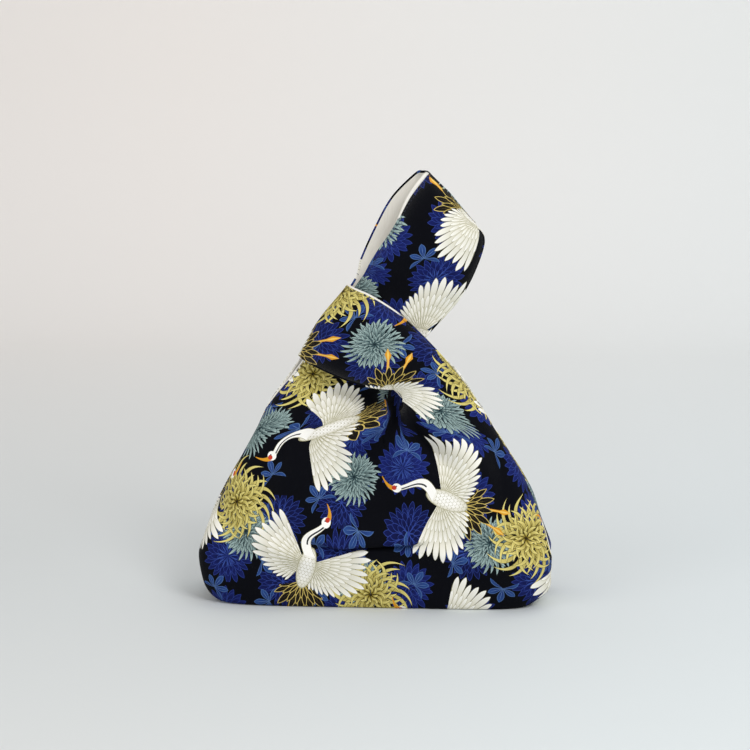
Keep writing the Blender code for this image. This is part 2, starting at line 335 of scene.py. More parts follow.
def body_grid(shares, side):
    """The body's grid of points, from the seam along the base up to the mouth."""
    insets = np.linspace(FOOT_DEPTH / 2, 0.0, 10)[:-1]
    insets = np.insert(insets, 1, FOOT_DEPTH / 2 - SEAM_STEP)
    rows = [base_row(inset, shares, side) for inset in insets]
    heights = [BELLY_HEIGHT * (1.0 - cos(turn)) for turn in np.linspace(0.0, pi / 2, 9)]
    heights += list(np.linspace(BELLY_HEIGHT, CLOSE_ROWS_TOP, 17)[1:])
    heights += list(np.linspace(CLOSE_ROWS_TOP, MOUTH_HEIGHT, 19)[1:])
    rows += [wall_row(height, shares, side) for height in heights]
    # Between the straps the knot draws the front edge of the mouth inwards, and it lifts both edges.
    # Low on the wall only the middle of the neck is drawn, and at the edge nearly its whole width.
    neck = (shares - SHARES[1][0]) / (SHARES[1][-1] - SHARES[1][0])
    bulge = np.clip(4 * neck * (1 - neck), 0.0, 1.0)
    for row in rows:
        top = smooth_step(MOUTH_HEIGHT - NECK_DEEP, MOUTH_HEIGHT, row[0, 2])
        drawn = top * bulge ** (1.5 - 1.1 * top)
        row[:, 1] += NECK_PULL[side] * drawn
        row[:, 2] += NECK_RISE[side] * drawn
    return np.array(rows)


print("rows of the body's grid:", len(body_grid(SHARES[1], FRONT)))

# %% [markdown]
# # Flat cloth coordinates
# A print belongs to the flat cloth, before it was cut and sewn. Each corner of the grids is given its
# place on the flat cloth, in metres: across by its distance along the row, and up by the distance
# along the middle column. These go into a UV map, and print and weave both read it.

# %% Flat places of a grid


def lengths(points, axis):
    """Distances along the grid's rows (axis 1) or columns (axis 0), starting from 0."""
    steps = np.linalg.norm(np.diff(points, axis=axis), axis=2)
    start = np.zeros_like(steps[:1] if axis == 0 else steps[:, :1])
    return np.concatenate([start, np.cumsum(steps, axis)], axis)


def flat_places(points, middle_x, start_y):
    """Place of each grid point on the flat cloth, with its rows centred on middle_x."""
    along = lengths(points, 1)
    across_x = along - along[:, -1:] / 2 + middle_x
    up = lengths(points, 0)
    up = up[:, points.shape[1] // 2][:, None] + start_y
    return np.stack([across_x, np.broadcast_to(up, across_x.shape)], axis=2)


belly_row = wall_row(BELLY_HEIGHT, np.linspace(-1.0, 1.0, OUTLINE_POINTS), FRONT)
print("width of a flat wall at the belly in mm:", round(lengths(belly_row[None], 1)[0, -1] / MM, 1))

# %% [markdown]
# # Creases, sags and puckers
# Laid cloth is too smooth. The cloth of a soft bag sags where it stands slack, is pulled into folds
# that run down from the knot, and buckles a little everywhere. A simulation could find such folds,
# but each one that is seen on the bag has its own place, so they are listed one by one: each fold is a
# line with a height and a width, and noise with a grain of a few centimetres does the rest.

# %% Places and sizes of the folds
BODY, LONG, SHORT = 0, 1, 2
# Start and end (x and z in metres), half width and height. A negative height is a hollow.
FOLDS = {
    FRONT: (
        ((0.020, 0.141), (-0.040, 0.112), 0.0080, 0.0080),
        ((0.002, 0.150), (-0.058, 0.122), 0.0090, -0.0068),
        ((0.010, 0.128), (-0.030, 0.066), 0.0090, -0.0060),
        ((0.026, 0.136), (0.014, 0.070), 0.0085, 0.0056),
        ((0.030, 0.140), (0.066, 0.112), 0.0060, 0.0062),
        ((0.034, 0.132), (0.060, 0.092), 0.0085, -0.0074),
        ((0.046, 0.146), (0.092, 0.080), 0.0090, 0.0058),
        ((-0.048, 0.150), (-0.094, 0.064), 0.0100, -0.0052),
        ((-0.060, 0.130), (-0.074, 0.058), 0.0080, 0.0034),
        ((0.094, 0.110), (0.104, 0.040), 0.0090, -0.0048),
        ((-0.114, 0.070), (-0.088, 0.020), 0.0100, -0.0040),
        ((-0.078, 0.046), (-0.022, 0.026), 0.0080, 0.0032),
        ((0.046, 0.042), (0.112, 0.030), 0.0075, 0.0036),
        ((0.112, 0.054), (0.060, 0.046), 0.0050, -0.0030),
    ),
    BACK: (
        ((0.004, 0.143), (-0.060, 0.062), 0.0095, 0.0060),
        ((0.014, 0.138), (-0.008, 0.066), 0.0080, -0.0052),
        ((0.030, 0.145), (0.066, 0.070), 0.0090, 0.0056),
        ((-0.040, 0.150), (-0.096, 0.060), 0.0100, -0.0044),
        ((0.090, 0.100), (0.100, 0.040), 0.0090, -0.0048),
        ((-0.060, 0.040), (0.050, 0.046), 0.0070, -0.0042),
    ),
}
# The ring is creased along its way round, and the wrist loop where it bends over the knot
RING_FOLDS = (
    ((0.052, 0.160), (-0.036, 0.188), 0.0060, 0.0022),
    ((0.060, 0.172), (-0.030, 0.206), 0.0055, -0.0022),
    ((0.066, 0.150), (0.020, 0.164), 0.0060, -0.0026),
)
LOOP_FOLDS = (
    ((0.006, 0.212), (0.028, 0.262), 0.0060, 0.0020),
    ((0.026, 0.210), (0.050, 0.262), 0.0060, -0.0022),
    ((-0.008, 0.224), (0.006, 0.262), 0.0050, -0.0014),
)
# Under the ring the front of the body is pressed in: place, half width, half height and depth
HOLLOW = ((-0.022, 0.155), 0.034, 0.018, 0.0130)
# The knot draws the cloth round the mouth in: place across, half width, the heights between which
# the draw grows and those between which it goes again, and how far
DRAWN_BACK = (0.0165, 0.022, (0.106, 0.140), (0.148, 0.175), 0.012)
# The slack cloth of the front hangs over itself in one short level tuck: its height and its two ends,
# then how far it stands out and is pressed in below, and how far it hangs down
TUCK_HEIGHT, TUCK_LEFT, TUCK_RIGHT = 0.0495, -0.034, 0.032
TUCK_OUT, TUCK_IN, TUCK_DROP = 0.0060, 0.0044, 0.0048
# Stuffed with the long strap, the ring's fold bulges to the left: height, half height and reach
BULGE = (0.205, 0.022, 0.0034)
# The knot draws both sides of the body in: height, half height and reach for the left and the right side
DRAWN_IN = {-1: (0.120, 0.042, 0.0054), 1: (0.148, 0.040, 0.0056)}
# The boxed corner at the right stands out in a small fold: height, half height and reach
CORNER_FOLD = (0.0120, 0.0045, 0.0055)
# Height of the fine buckles of the wall, the ring and the wrist loop
BUCKLES = {BODY: 0.0034, SHORT: 0.0012, LONG: 0.0009}
# Heights between which folds fade in and out, so that they leave the base and the edges alone
WALL_FADES = ((0.004, 0.020), (0.150, 0.185))
RING_FADE = (0.142, 0.160)
LOOP_START, LOOP_FADES = 0.195, ((0.200, 0.222), (0.272, 0.300))
# Cloth is stiff beside a seam, and gives way fully only this far from it
SEAM_STIFF = 0.022
print("folds in front:", len(FOLDS[FRONT]), "behind:", len(FOLDS[BACK]),
      "on the ring:", len(RING_FOLDS), "on the wrist loop:", len(LOOP_FOLDS))

# %% One fold, and the tuck


def fold_height(fold, x, z):
    """How far a fold lifts the cloth at a place: highest near its start, and gone past its end."""
    (x0, z0), (x1, z1), width, height = fold
    run = np.array((x1 - x0, z1 - z0))
    length = float(np.hypot(*run))
    way = ((x - x0) * run[0] + (z - z0) * run[1]) / length
    off = ((x - x0) * run[1] - (z - z0) * run[0]) / length
    t = way / length
    if t < -0.25 or t > 1.15:
        return 0.0
    reach = smooth_step(-0.25, 0.1, t) * (1.0 - smooth_step(0.45, 1.15, t))
    spread = width * (0.75 + 0.6 * max(0.0, t))
    return height * reach * np.exp(-(off / spread) ** 2)


def tuck(x, z):
    """Move of the front wall where its slack cloth hangs over itself."""
    inside = smooth_step(TUCK_LEFT - 0.014, TUCK_LEFT + 0.010, x)
    inside *= 1.0 - smooth_step(TUCK_RIGHT - 0.010, TUCK_RIGHT + 0.014, x)
    level = z - TUCK_HEIGHT - 0.0012 * sin(x * 70.0)
    above = np.exp(-((level - 0.0035) / (0.0080 if level > 0 else 0.0045)) ** 2)
    below = np.exp(-((level + 0.0030) / 0.0028) ** 2)
    return Vector((0.0, -TUCK_OUT * above + TUCK_IN * below, -TUCK_DROP * above)) * inside


print("the tuck stands out in mm:", round(-tuck(0.0, TUCK_HEIGHT + 0.0035).y / MM, 1))

# %% How the folds move the cloth


def crumple(co, normal, side, part):
    """Move of a point of one part of a panel from its smooth place to the creased one."""
    x, y, z = co
    seam = smooth_step(0.0, SEAM_STIFF, abs(y))
    # The buckles are 4 to 5 cm from one to the next, with smaller ones of half the height between them
    seed = Vector((x * 21.0, side * 3.1 + y * 12.0, z * 24.0))
    buckle = noise.noise(seed) + 0.5 * noise.noise(seed * 2.3 + Vector((4.0, 1.0, 7.0)))
    if part == SHORT:
        lift = sum(fold_height(fold, x, z) for fold in RING_FOLDS) + BUCKLES[SHORT] * buckle
        move = normal * lift * smooth_step(*RING_FADE, z) * seam
    elif part == LONG and z > LOOP_START:
        near = smooth_step(*LOOP_FADES[0], z) * (1.0 - smooth_step(*LOOP_FADES[1], z))
        lift = sum(fold_height(fold, x, z) for fold in LOOP_FOLDS) + BUCKLES[LONG] * buckle
        move = normal * lift * near * smooth_step(0.001, 0.010, abs(y))
    else:
        on_wall = smooth_step(*WALL_FADES[0], z) * (1.0 - smooth_step(*WALL_FADES[1], z))
        lift = sum(fold_height(fold, x, z) for fold in FOLDS[side]) + BUCKLES[BODY] * buckle
        move = normal * lift * on_wall * (0.25 + 0.75 * seam)
        if side == FRONT:
            (middle_x, middle_z), half_x, half_z, depth = HOLLOW
            away = ((x - middle_x) / half_x) ** 2 + ((z - middle_z) / half_z) ** 2
            pressed = depth * np.exp(-away) * min(1.0, abs(y) / SEAM_STIFF)
            move = move + Vector((0.0, pressed, 0.0)) + tuck(x, z) * seam
    if side == FRONT:
        middle_x, half_x, grows, goes, depth = DRAWN_BACK
        move.y += (depth * np.exp(-((x - middle_x) / half_x) ** 2) * smooth_step(*grows, z)
                   * (1.0 - smooth_step(*goes, z)) * min(1.0, abs(y) / 0.020))
    height, half, reach = BULGE
    move.x -= reach * np.exp(-((z - height) / half) ** 2) * (1.0 - smooth_step(-0.035, -0.005, x))
    height, half, reach = DRAWN_IN[1 if x > 0 else -1]
    move.x -= x / 0.095 * reach * np.exp(-((z - height) / half) ** 2)
    height, half, reach = CORNER_FOLD
    move.x += reach * np.exp(-((z - height) / half) ** 2) * smooth_step(0.090, 0.120, x)
    return move


corner = crumple(Vector((0.128, -0.02, CORNER_FOLD[0])), Vector((1.0, 0.0, 0.0)), FRONT, BODY)
print("the boxed corner at the right moves out in mm:", round(corner.x / MM, 1))

# %% [markdown]
# # One middle sheet for each panel
# Each panel of the bag is two layers of cloth that lie on each other. Both could be laid on their own,
# but then they would meet in places. So one middle sheet is laid and creased for each panel, and both
# layers are made from it later. The sheet keeps three notes for later steps: which part each point
# belongs to, where it lies on the flat cloth, and how much it is rubbed.

# %% Lay, crease and rub a mesh of cloth
# Rubbing falls to a third within this distance
RUB_REACH = 0.003


def lay_grid(mesh, points, flat, part):
    """Adds a flat grid, lays its points where the cloth lies and notes their flat places."""
    rows, columns = points.shape[:2]
    cloth, parts = mesh.loops.layers.uv["cloth"], mesh.verts.layers.int["part"]
    made = bmesh.ops.create_grid(mesh, x_segments=columns - 1, y_segments=rows - 1, size=1.0)
    place = {}
    for vertex, point, spot in zip(made["verts"], points.reshape(-1, 3), flat.reshape(-1, 2)):
        vertex.co = point
        vertex[parts] = part
        place[vertex] = spot
    for face in {face for vertex in made["verts"] for face in vertex.link_faces}:
        for loop in face.loops:
            loop[cloth].uv = place[loop.vert]


def crease_cloth(mesh, side):
    """Moves every point as its folds ask. All moves are found first, because they change the normals."""
    parts = mesh.verts.layers.int["part"]
    moves = [crumple(vertex.co, vertex.normal, side, vertex[parts]) for vertex in mesh.verts]
    for vertex, move in zip(mesh.verts, moves):
        vertex.co += move
    mesh.normal_update()


def note_rubbing(mesh, worn):
    """Notes how much each place is rubbed: most at the worn points, and little 8 mm from them."""
    rubbed = mesh.verts.layers.float.new("rub")
    mesh.verts.ensure_lookup_table()
    near = kdtree.KDTree(len(worn))
    for index in worn:
        near.insert(mesh.verts[index].co, index)
    near.balance()
    for vertex in mesh.verts:
        vertex[rubbed] = float(np.exp(-near.find(vertex.co)[2] / RUB_REACH))


print("share of rubbing 8 mm from an edge:", round(float(np.exp(-0.008 / RUB_REACH)), 2))

# %% Lay a panel's middle sheet
# Rows of the straps, and how many stations the back panel runs past their folds
LONG_COUNT, SHORT_COUNT = 62, 30
TOP_SEAM_SHIFT, RING_SEAM_SHIFT = 1.0, -1.3
# Points closer than this are one point
SAME_POINT = 0.00005


class Panel:
    """The middle sheet of one panel, halfway between the outer cloth and the lining."""

    def __init__(self, side):
        self.side = side
        shares = np.concatenate([SHARES[0], SHARES[1][1:], SHARES[2][1:]])
        body = body_grid(shares, side)
        turn = 1 if side == BACK else -1
        long_strap = strap_grid(long_strap_stations, SHARES[0], side, turn * TOP_SEAM_SHIFT, LONG_COUNT)
        short_strap = strap_grid(short_strap_stations, SHARES[2], side, turn * RING_SEAM_SHIFT, SHORT_COUNT)
        flat_body = flat_places(body, 0.0, 0.0)
        last, start = len(SHARES[0]) - 1, len(shares) - len(SHARES[2])
        top = flat_body[-1]
        flat_long = flat_places(long_strap, (top[0, 0] + top[last, 0]) / 2, top[0, 1])
        flat_short = flat_places(short_strap, (top[start, 0] + top[-1, 0]) / 2, top[0, 1])
        self.mesh = bmesh.new()
        self.mesh.loops.layers.uv.new("cloth")
        self.mesh.verts.layers.int.new("part")
        lay_grid(self.mesh, body, flat_body, BODY)
        lay_grid(self.mesh, long_strap, flat_long, LONG)
        lay_grid(self.mesh, short_strap, flat_short, SHORT)
        bmesh.ops.remove_doubles(self.mesh, verts=self.mesh.verts, dist=SAME_POINT)
        if side == BACK:
            bmesh.ops.reverse_faces(self.mesh, faces=self.mesh.faces)
        self.mesh.normal_update()
        self.mesh.verts.index_update()
        self.spots = kdtree.KDTree(len(self.mesh.verts))
        for vertex in self.mesh.verts:
            self.spots.insert(vertex.co, vertex.index)
        self.spots.balance()
        find = self.find
        self.armhole_left = find(long_strap[:, 0])
        self.mouth_long = find(long_strap[:, -1])
        self.neck = find(body[-1, last:start + 1])
        self.mouth_short = find(short_strap[:, 0])
        self.armhole_right = find(short_strap[:, -1])
        self.seams = set(find(body[:, 0]) + find(body[:, -1]) + find(body[0])
                         + find(long_strap[-1]) + find(short_strap[-1]))
        crease_cloth(self.mesh, side)
        note_rubbing(self.mesh, self.seams.union(self.armhole_left, self.mouth_long, self.neck,
                                                 self.mouth_short, self.armhole_right))
        all_flat = [flat.reshape(-1, 2) for flat in (flat_body, flat_long, flat_short)]
        self.flat_size = np.ptp(np.concatenate(all_flat), axis=0)

    def find(self, points):
        """Numbers of the mesh's points at these places, before it is creased."""
        return [self.spots.find(point)[1] for point in points]


panels = {side: Panel(side) for side in (FRONT, BACK)}
for side, panel in panels.items():
    print("panel", side, "faces", len(panel.mesh.faces), "flat size in mm", (panel.flat_size / MM).round())

# %% [markdown]
# # Outer cloth and lining
# The bag is sewn from two layers: the printed cotton outside and a plain cream lining inside. Both
# are offset from the same middle sheet, which keeps them apart everywhere, and then a Solidify
# modifier gives each its thickness. Along a seam the outer cloth turns in towards its seam allowance,
# so its last row is laid a little deeper and the seam reads as a groove.

# %% Sheets from the middle sheet
OUTER_THICKNESS, LINING_THICKNESS, LAYER_GAP = 0.0008, 0.0006, 0.0003
SEAM_DEPTH = 0.0009
ON_SEAM = 1e-6
made_pieces = {}


def add_object(name, mesh_data, material=None):
    thing = bpy.data.objects.new(name, mesh_data)
    bpy.context.scene.collection.objects.link(thing)
    if material:
        mesh_data.materials.append(material)
    return thing


def sheet_normal(panel, vertex):
    """The cloth's normal, which lies in the middle plane where the front and the back meet."""
    normal = vertex.normal.copy()
    if abs(vertex.co.y) < ON_SEAM:
        normal.y = 0.0
        normal.normalize()
    return normal


def lay_sheet(name, panel, inner_face, thickness, seam_depth):
    """One layer of cloth, offset from the panel's middle sheet and thickened outwards."""
    layer = panel.mesh.copy()
    moves = []
    for vertex in layer.verts:
        depth = seam_depth if vertex.index in panel.seams else 0.0
        moves.append(sheet_normal(panel, vertex) * (inner_face - depth))
    for vertex, move in zip(layer.verts, moves):
        vertex.co += move
        # The middle sheet's base lies at floor height, so the outer cloth is lifted to stand on the floor
        vertex.co.z += LAYER_GAP / 2 + OUTER_THICKNESS
    data = bpy.data.meshes.new(name)
    layer.to_mesh(data)
    area = sum(face.calc_area() for face in layer.faces)
    layer.free()
    data.polygons.foreach_set("use_smooth", [True] * len(data.polygons))
    piece = add_object(name, data)
    smooth = piece.modifiers.new("finer cloth", "SUBSURF")
    smooth.levels = smooth.render_levels = 1
    shell = piece.modifiers.new("cloth thickness", "SOLIDIFY")
    shell.thickness, shell.offset = thickness, 1.0
    made_pieces[name] = (piece, area)
    return piece


for word, side in (("front", FRONT), ("back", BACK)):
    lay_sheet(f"outer_{word}", panels[side], LAYER_GAP / 2, OUTER_THICKNESS, SEAM_DEPTH)
    lay_sheet(f"lining_{word}", panels[side], -LAYER_GAP / 2 - LINING_THICKNESS, LINING_THICKNESS, 0.0)
for name, (piece, area) in made_pieces.items():
    print(name, "area in square metres:", round(area, 4))

# %% [markdown]
# # Rolled edges
# Along every free edge of the straps and the mouth the two layers are sewn together and turned, so
# the edge is a small roll of outer cloth beside a small roll of lining. Where the lining was pulled
# over, its roll shows outside as a narrow cream line; elsewhere it stays inside. Front and back edges
# meet at the seams, which makes three closed rings: one round each armhole and one round the mouth.
# Each roll is a tube laid along its ring. The one that shows wraps the edge, and the other lies
# thinner beside it, under its own layer of cloth.

# %% Follow an edge
# Places closer than this along an edge are one place
SAME_PLACE = 0.0004


def edge_ring(*runs):
    """Along a closed edge: places, normals, inward directions, flat places and how far the lining shows."""
    places, normals, inward, flat, shown = [], [], [], [], []
    for panel, indices, shows in runs:
        panel.mesh.verts.ensure_lookup_table()
        cloth = panel.mesh.loops.layers.uv["cloth"]
        for order, index in enumerate(indices):
            vertex = panel.mesh.verts[index]
            places.append(np.array(vertex.co))
            normals.append(np.array(vertex.normal))
            centre = np.mean([np.array(face.calc_center_median()) for face in vertex.link_faces], axis=0)
            inward.append(centre - places[-1])
            flat.append(np.array((*vertex.link_loops[0][cloth].uv, 0.0)))
            at = order / (len(indices) - 1)
            shown.append((np.interp(at, np.linspace(0.0, 1.0, len(shows)), shows), panel.side, 0.0))
    return [np.array(values) for values in (places, normals, inward, flat, shown)]


def ring_frame(places, normals, inward, flat, shown):
    """Thins out doubled places and squares the three directions at each of the rest."""
    keep = [i for i in range(len(places)) if np.linalg.norm(places[i] - places[i - 1]) > SAME_PLACE]
    places, normals, inward, flat, shown = (values[keep] for values in (places, normals, inward, flat, shown))
    way = np.roll(places, -1, 0) - np.roll(places, 1, 0)
    way /= np.linalg.norm(way, axis=1)[:, None]
    for _ in range(2):
        normals = np.roll(normals, 1, 0) + 2 * normals + np.roll(normals, -1, 0)
        normals -= way * np.sum(normals * way, axis=1)[:, None]
        normals /= np.linalg.norm(normals, axis=1)[:, None]
    inside = np.cross(way, normals)
    inside *= np.sign(np.sum(inside * inward, axis=1))[:, None]
    for _ in range(2):
        shown = (np.roll(shown, 1, 0) + 2 * shown + np.roll(shown, -1, 0)) / 4
    return places, way, normals, inside, flat, shown


front, back = panels[FRONT], panels[BACK]
print("places along the front of the left armhole:", len(front.armhole_left))

# %% Edge rings
# How far the lining shows outside along each run, as shares at even steps: 1 is rolled out, 0 is
# inside, more than 1 is a thicker roll, and less than 0 is tucked deeper, as at the neck's corner
SHOWN, HIDDEN = (1.0, 1.0, 1.0, 0.6, 0.15, 0.0, 0.5, 1.4, 2.0, 2.0), (0.0, 0.0)
edges = {
    "left_armhole": edge_ring((front, front.armhole_left, SHOWN),
                              (back, back.armhole_left[::-1], (1, 0, 0, 0, 0, 0, 0, 0, 0, 0, 0.5, 1))),
    "mouth": edge_ring((front, front.mouth_long, HIDDEN), (back, back.mouth_long[::-1], HIDDEN),
                       (back, back.neck, HIDDEN), (back, back.mouth_short, HIDDEN),
                       (front, front.mouth_short[::-1], (0, 0, 0, 0, 0, 0, -0.6)),
                       (front, front.neck[::-1], (-0.6, 0, 0, 0))),
    "right_armhole": edge_ring((front, front.armhole_right, (0, 0, 0.3, 1, 1, 1, 1, 1)),
                               (back, back.armhole_right[::-1], (0.8, 0, 0, 0, 0, 0))),
}
edges = {name: ring_frame(*ring) for name, ring in edges.items()}
for name, ring in edges.items():
    print(name, "places:", len(ring[0]))

# %% [markdown]
# # Two rolls for each ring
# A tube could be a bevelled curve, but a grid that is laid round the ring can take its own radius and
# place at every step, so the roll can swell, shrink and pass from one side of the edge to the other.
# The grid's first and last rows meet, as do its first and last columns, and joining them closes it.

# %% A roll along a ring
# A roll that shows and one that is tucked away: radius, place inside the edge and place off the middle
ROLL_RADIUS, TUCKED_RADIUS, ROLL_SIDES = 0.00105, 0.0005, 10
ROLL_IN, TUCKED_IN = 0.0002, 0.0016
ROLL_OUT, TUCKED_DEPTH = 0.0001, 0.00045
LIFT = np.array((0.0, 0.0, LAYER_GAP / 2 + OUTER_THICKNESS))


def tube_round(ring, wraps, layer_side, sides):
    """A closed tube along a ring, laid as a grid and joined. wraps tells where it wraps the edge."""
    places, way, normals, inside, flat, shown = ring
    radius = TUCKED_RADIUS + (ROLL_RADIUS - TUCKED_RADIUS) * wraps
    roll_in = ROLL_IN + TUCKED_IN * (1.0 - wraps)
    roll_out = layer_side * TUCKED_DEPTH * (1.0 - np.minimum(wraps, 1.0)) + ROLL_OUT
    count = len(places)
    tube = bmesh.new()
    cloth = tube.loops.layers.uv.new("cloth")
    made = bmesh.ops.create_grid(tube, x_segments=sides, y_segments=count, size=1.0)
    spots = {}
    for order, vertex in enumerate(made["verts"]):
        row, column = divmod(order, sides + 1)
        turn = 2 * pi * column / sides
        at = row % count
        vertex.co = (places[at] + LIFT + inside[at] * (roll_in[at] + radius[at] * cos(turn))
                     + normals[at] * (roll_out[at] + radius[at] * sin(turn)))
        spots[vertex] = (flat[at, 0] + radius[at] * cos(turn), flat[at, 1], shown[at, 1])
    for face in tube.faces:
        for loop in face.loops:
            loop[cloth].uv = spots[loop.vert][:2]
        face.material_index = int(spots[face.loops[0].vert][2] > 0)
    bmesh.ops.remove_doubles(tube, verts=tube.verts, dist=0.00002)
    bmesh.ops.recalc_face_normals(tube, faces=tube.faces)
    return tube


print("thickness of a roll that shows in mm:", round(2 * ROLL_RADIUS / MM, 1))

# %% Lay the rolled edges


def lay_rolls(name, layer_side):
    """The tubes of one layer along all three edges as one piece."""
    rolls = bmesh.new()
    for edge, ring in edges.items():
        shows = ring[5][:, 0]
        wraps = np.maximum(0.0, 1.0 - shows) if layer_side > 0 else shows
        tube = tube_round(ring, wraps, layer_side, ROLL_SIDES)
        part = bpy.data.meshes.new(edge)
        tube.to_mesh(part)
        tube.free()
        rolls.from_mesh(part)
        bpy.data.meshes.remove(part)
    data = bpy.data.meshes.new(name)
    rolls.to_mesh(data)
    rolls.free()
    data.polygons.foreach_set("use_smooth", [True] * len(data.polygons))
    piece = add_object(name, data)
    finer = piece.modifiers.new("finer roll", "SUBSURF")
    finer.levels = finer.render_levels = 1
    print(name, "faces:", len(data.polygons))
    return piece


rolled_edges = lay_rolls("rolled_lining_edges", -1)
turned_edges = lay_rolls("turned_outer_edges", 1)

# %% [markdown]
# # Stitches
# A line of short stitches runs on the outer cloth beside the rolled edge of each armhole and holds
# the roll down. The edge of the mouth is turned without one. A stitch is a small spindle of thread
# with narrow ends, which is enough at this size, and its few faces are laid again for every stitch.

# %% A stitch
# Length, distance from one to the next and thickness, and how far inside the edge they lie
STITCH, STITCH_PITCH, THREAD = 0.0021, 0.0029, 0.00042
STITCH_IN, STITCH_SIDES = 0.0019, 6
# Places along a stitch and its girth there, as shares, and how flat it lies
STITCH_REACHES, STITCH_GIRTHS, STITCH_FLAT = (-0.5, -0.32, 0.32, 0.5), (0.22, 1.0, 1.0, 0.22), 0.8


def along_ring(ring, pitch):
    """Evenly spaced places, ways, normals and inward directions along a closed ring."""
    places = ring[0]
    run = np.concatenate([[0.0], np.cumsum(np.linalg.norm(np.roll(places, -1, 0) - places, axis=1))])
    count = int(run[-1] / pitch)
    at = np.linspace(0.0, run[-1], count, endpoint=False)
    spread = []
    for values in ring:
        closed = np.concatenate([values, values[:1]])
        spread.append(np.stack([np.interp(at, run, closed[:, axis]) for axis in range(3)], axis=1))
    return spread


def add_stitch(mesh, middle, way, up):
    """One stitch: a short six-sided spindle of thread, flattened into the cloth."""
    side = np.cross(up, way)
    made = bmesh.ops.create_grid(mesh, x_segments=STITCH_SIDES, y_segments=3, size=1.0)
    for order, vertex in enumerate(made["verts"]):
        row, column = divmod(order, STITCH_SIDES + 1)
        reach = STITCH_REACHES[row] * STITCH
        girth = STITCH_GIRTHS[row] * THREAD / 2
        turn = 2 * pi * column / STITCH_SIDES
        vertex.co = middle + way * reach + side * girth * cos(turn) + up * girth * STITCH_FLAT * sin(turn)


print("stitches in 10 cm:", round(0.1 / STITCH_PITCH))

# %% Lay the stitches
threads = bmesh.new()
stitch_count = 0
for name in ("left_armhole", "right_armhole"):
    for place, way, normal, inside in zip(*along_ring(edges[name][:4], STITCH_PITCH)):
        surface = OUTER_THICKNESS + LAYER_GAP / 2 + THREAD * 0.12
        middle = place + LIFT + inside * STITCH_IN + normal * surface
        add_stitch(threads, middle, way / np.linalg.norm(way), normal / np.linalg.norm(normal))
        stitch_count += 1
bmesh.ops.remove_doubles(threads, verts=threads.verts, dist=0.00001)
open_ends = [edge for edge in threads.edges if edge.is_boundary]
bmesh.ops.holes_fill(threads, edges=open_ends, sides=STITCH_SIDES)
bmesh.ops.recalc_face_normals(threads, faces=threads.faces)
thread_data = bpy.data.meshes.new("edge_stitches")
threads.to_mesh(thread_data)
threads.free()
thread_data.polygons.foreach_set("use_smooth", [True] * len(thread_data.polygons))
edge_stitches = add_object("edge_stitches", thread_data)
print("stitches:", stitch_count, "faces:", len(thread_data.polygons))

# %% [markdown]
# # One function for every node
# The print is drawn by shader nodes on the flat cloth coordinates, so it bends and folds with the
# cloth and stays sharp at any distance. A painted image would be quicker to draw, but it would have
# to be stored, and it blurs close up. One small function adds a node with its settings and links.
# A kind in capitals is short for a Math node with that operation.

# %% Colours and nodes


def srgb(code):
    """Linear RGBA of an sRGB hex colour."""
    values = [int(code[i:i + 2], 16) / 255 for i in (1, 3, 5)]
    return (*[v / 12.92 if v <= 0.04045 else ((v + 0.055) / 1.055) ** 2.4 for v in values], 1.0)


def put(kind, *inputs, out=0, **settings):
    """Adds a node to the tree in hand, with its settings, and links or sets its inputs in order."""
    made = tree.nodes.new("ShaderNodeMath" if kind.isupper() else "ShaderNode" + kind)
    if kind.isupper():
        made.operation = kind
    for name, value in settings.items():
        setattr(made, name, value)
    sockets = [socket for socket in made.inputs if socket.enabled]
    for socket, value in zip(sockets, inputs):
        if isinstance(value, bpy.types.NodeSocket):
            tree.links.new(value, socket)
        elif value is not None:
            socket.default_value = srgb(value) if isinstance(value, str) else value
    return [socket for socket in made.outputs if socket.enabled][out]


def start_material(name):
    """A new material, whose tree the next nodes go into."""
    global tree
    material = bpy.data.materials.new(name)
    material.use_nodes = True
    tree = material.node_tree
    return material, tree.nodes["Principled BSDF"]


def flat_cloth(shift):
    """The flat cloth coordinates in millimetres, moved by shift so that two panels differ."""
    cloth = put("UVMap", uv_map="cloth")
    return put("VectorMath", cloth, (1000.0, 1000.0, 0.0), shift, operation="MULTIPLY_ADD")


print("mid grey in linear light:", round(srgb("#808080")[0], 3))

# %% [markdown]
# # Repeats
# A printed cloth repeats its figures. Each layer of figures has its own lattice of cells, in which
# every second column is dropped by half a cell. A random number for each cell moves and turns its
# figure, and for some layers leaves cells empty. The lattices have different sizes, so the layers
# never fall in step.

# %% Cells of a lattice
# A whole turn in radians
TURN = 6.28


def cell(flat, width, height, seed, jitter, shift=(0.0, 0.0)):
    """In the cell of a lattice: coordinates in mm from its figure's middle, and its random number."""
    x, y = (put("SeparateXYZ", flat, out=axis) for axis in (0, 1))
    across = put("MULTIPLY_ADD", x, 1 / width, shift[0])
    column = put("FLOOR", across)
    drop = put("MULTIPLY", put("MODULO", put("ABSOLUTE", column), 2.0), 0.5)
    up = put("ADD", put("MULTIPLY_ADD", y, 1 / height, shift[1]), drop)
    row = put("FLOOR", up)
    chance = put("TexWhiteNoise", put("CombineXYZ", column, row, seed), out=1, noise_dimensions="3D")
    spot = put("CombineXYZ", put("SUBTRACT", across, column), put("SUBTRACT", up, row), 0.0)
    spot = put("VectorMath", spot, (0.5, 0.5, 0.0), operation="SUBTRACT")
    spot = put("VectorMath", spot, (width, height, 0.0), operation="MULTIPLY")
    moved = put("VectorMath", chance, (0.5, 0.5, 0.0), operation="SUBTRACT")
    spot = put("VectorMath", moved, (-2 * jitter, -2 * jitter, 0.0), spot, operation="MULTIPLY_ADD")
    return spot, put("SeparateXYZ", chance, out=2)


def turned(spot, chance, least, most):
    """The coordinates turned by a random angle between two angles."""
    angle = put("MULTIPLY_ADD", chance, most - least, least)
    return put("VectorRotate", spot, None, angle, rotation_type="Z_AXIS")


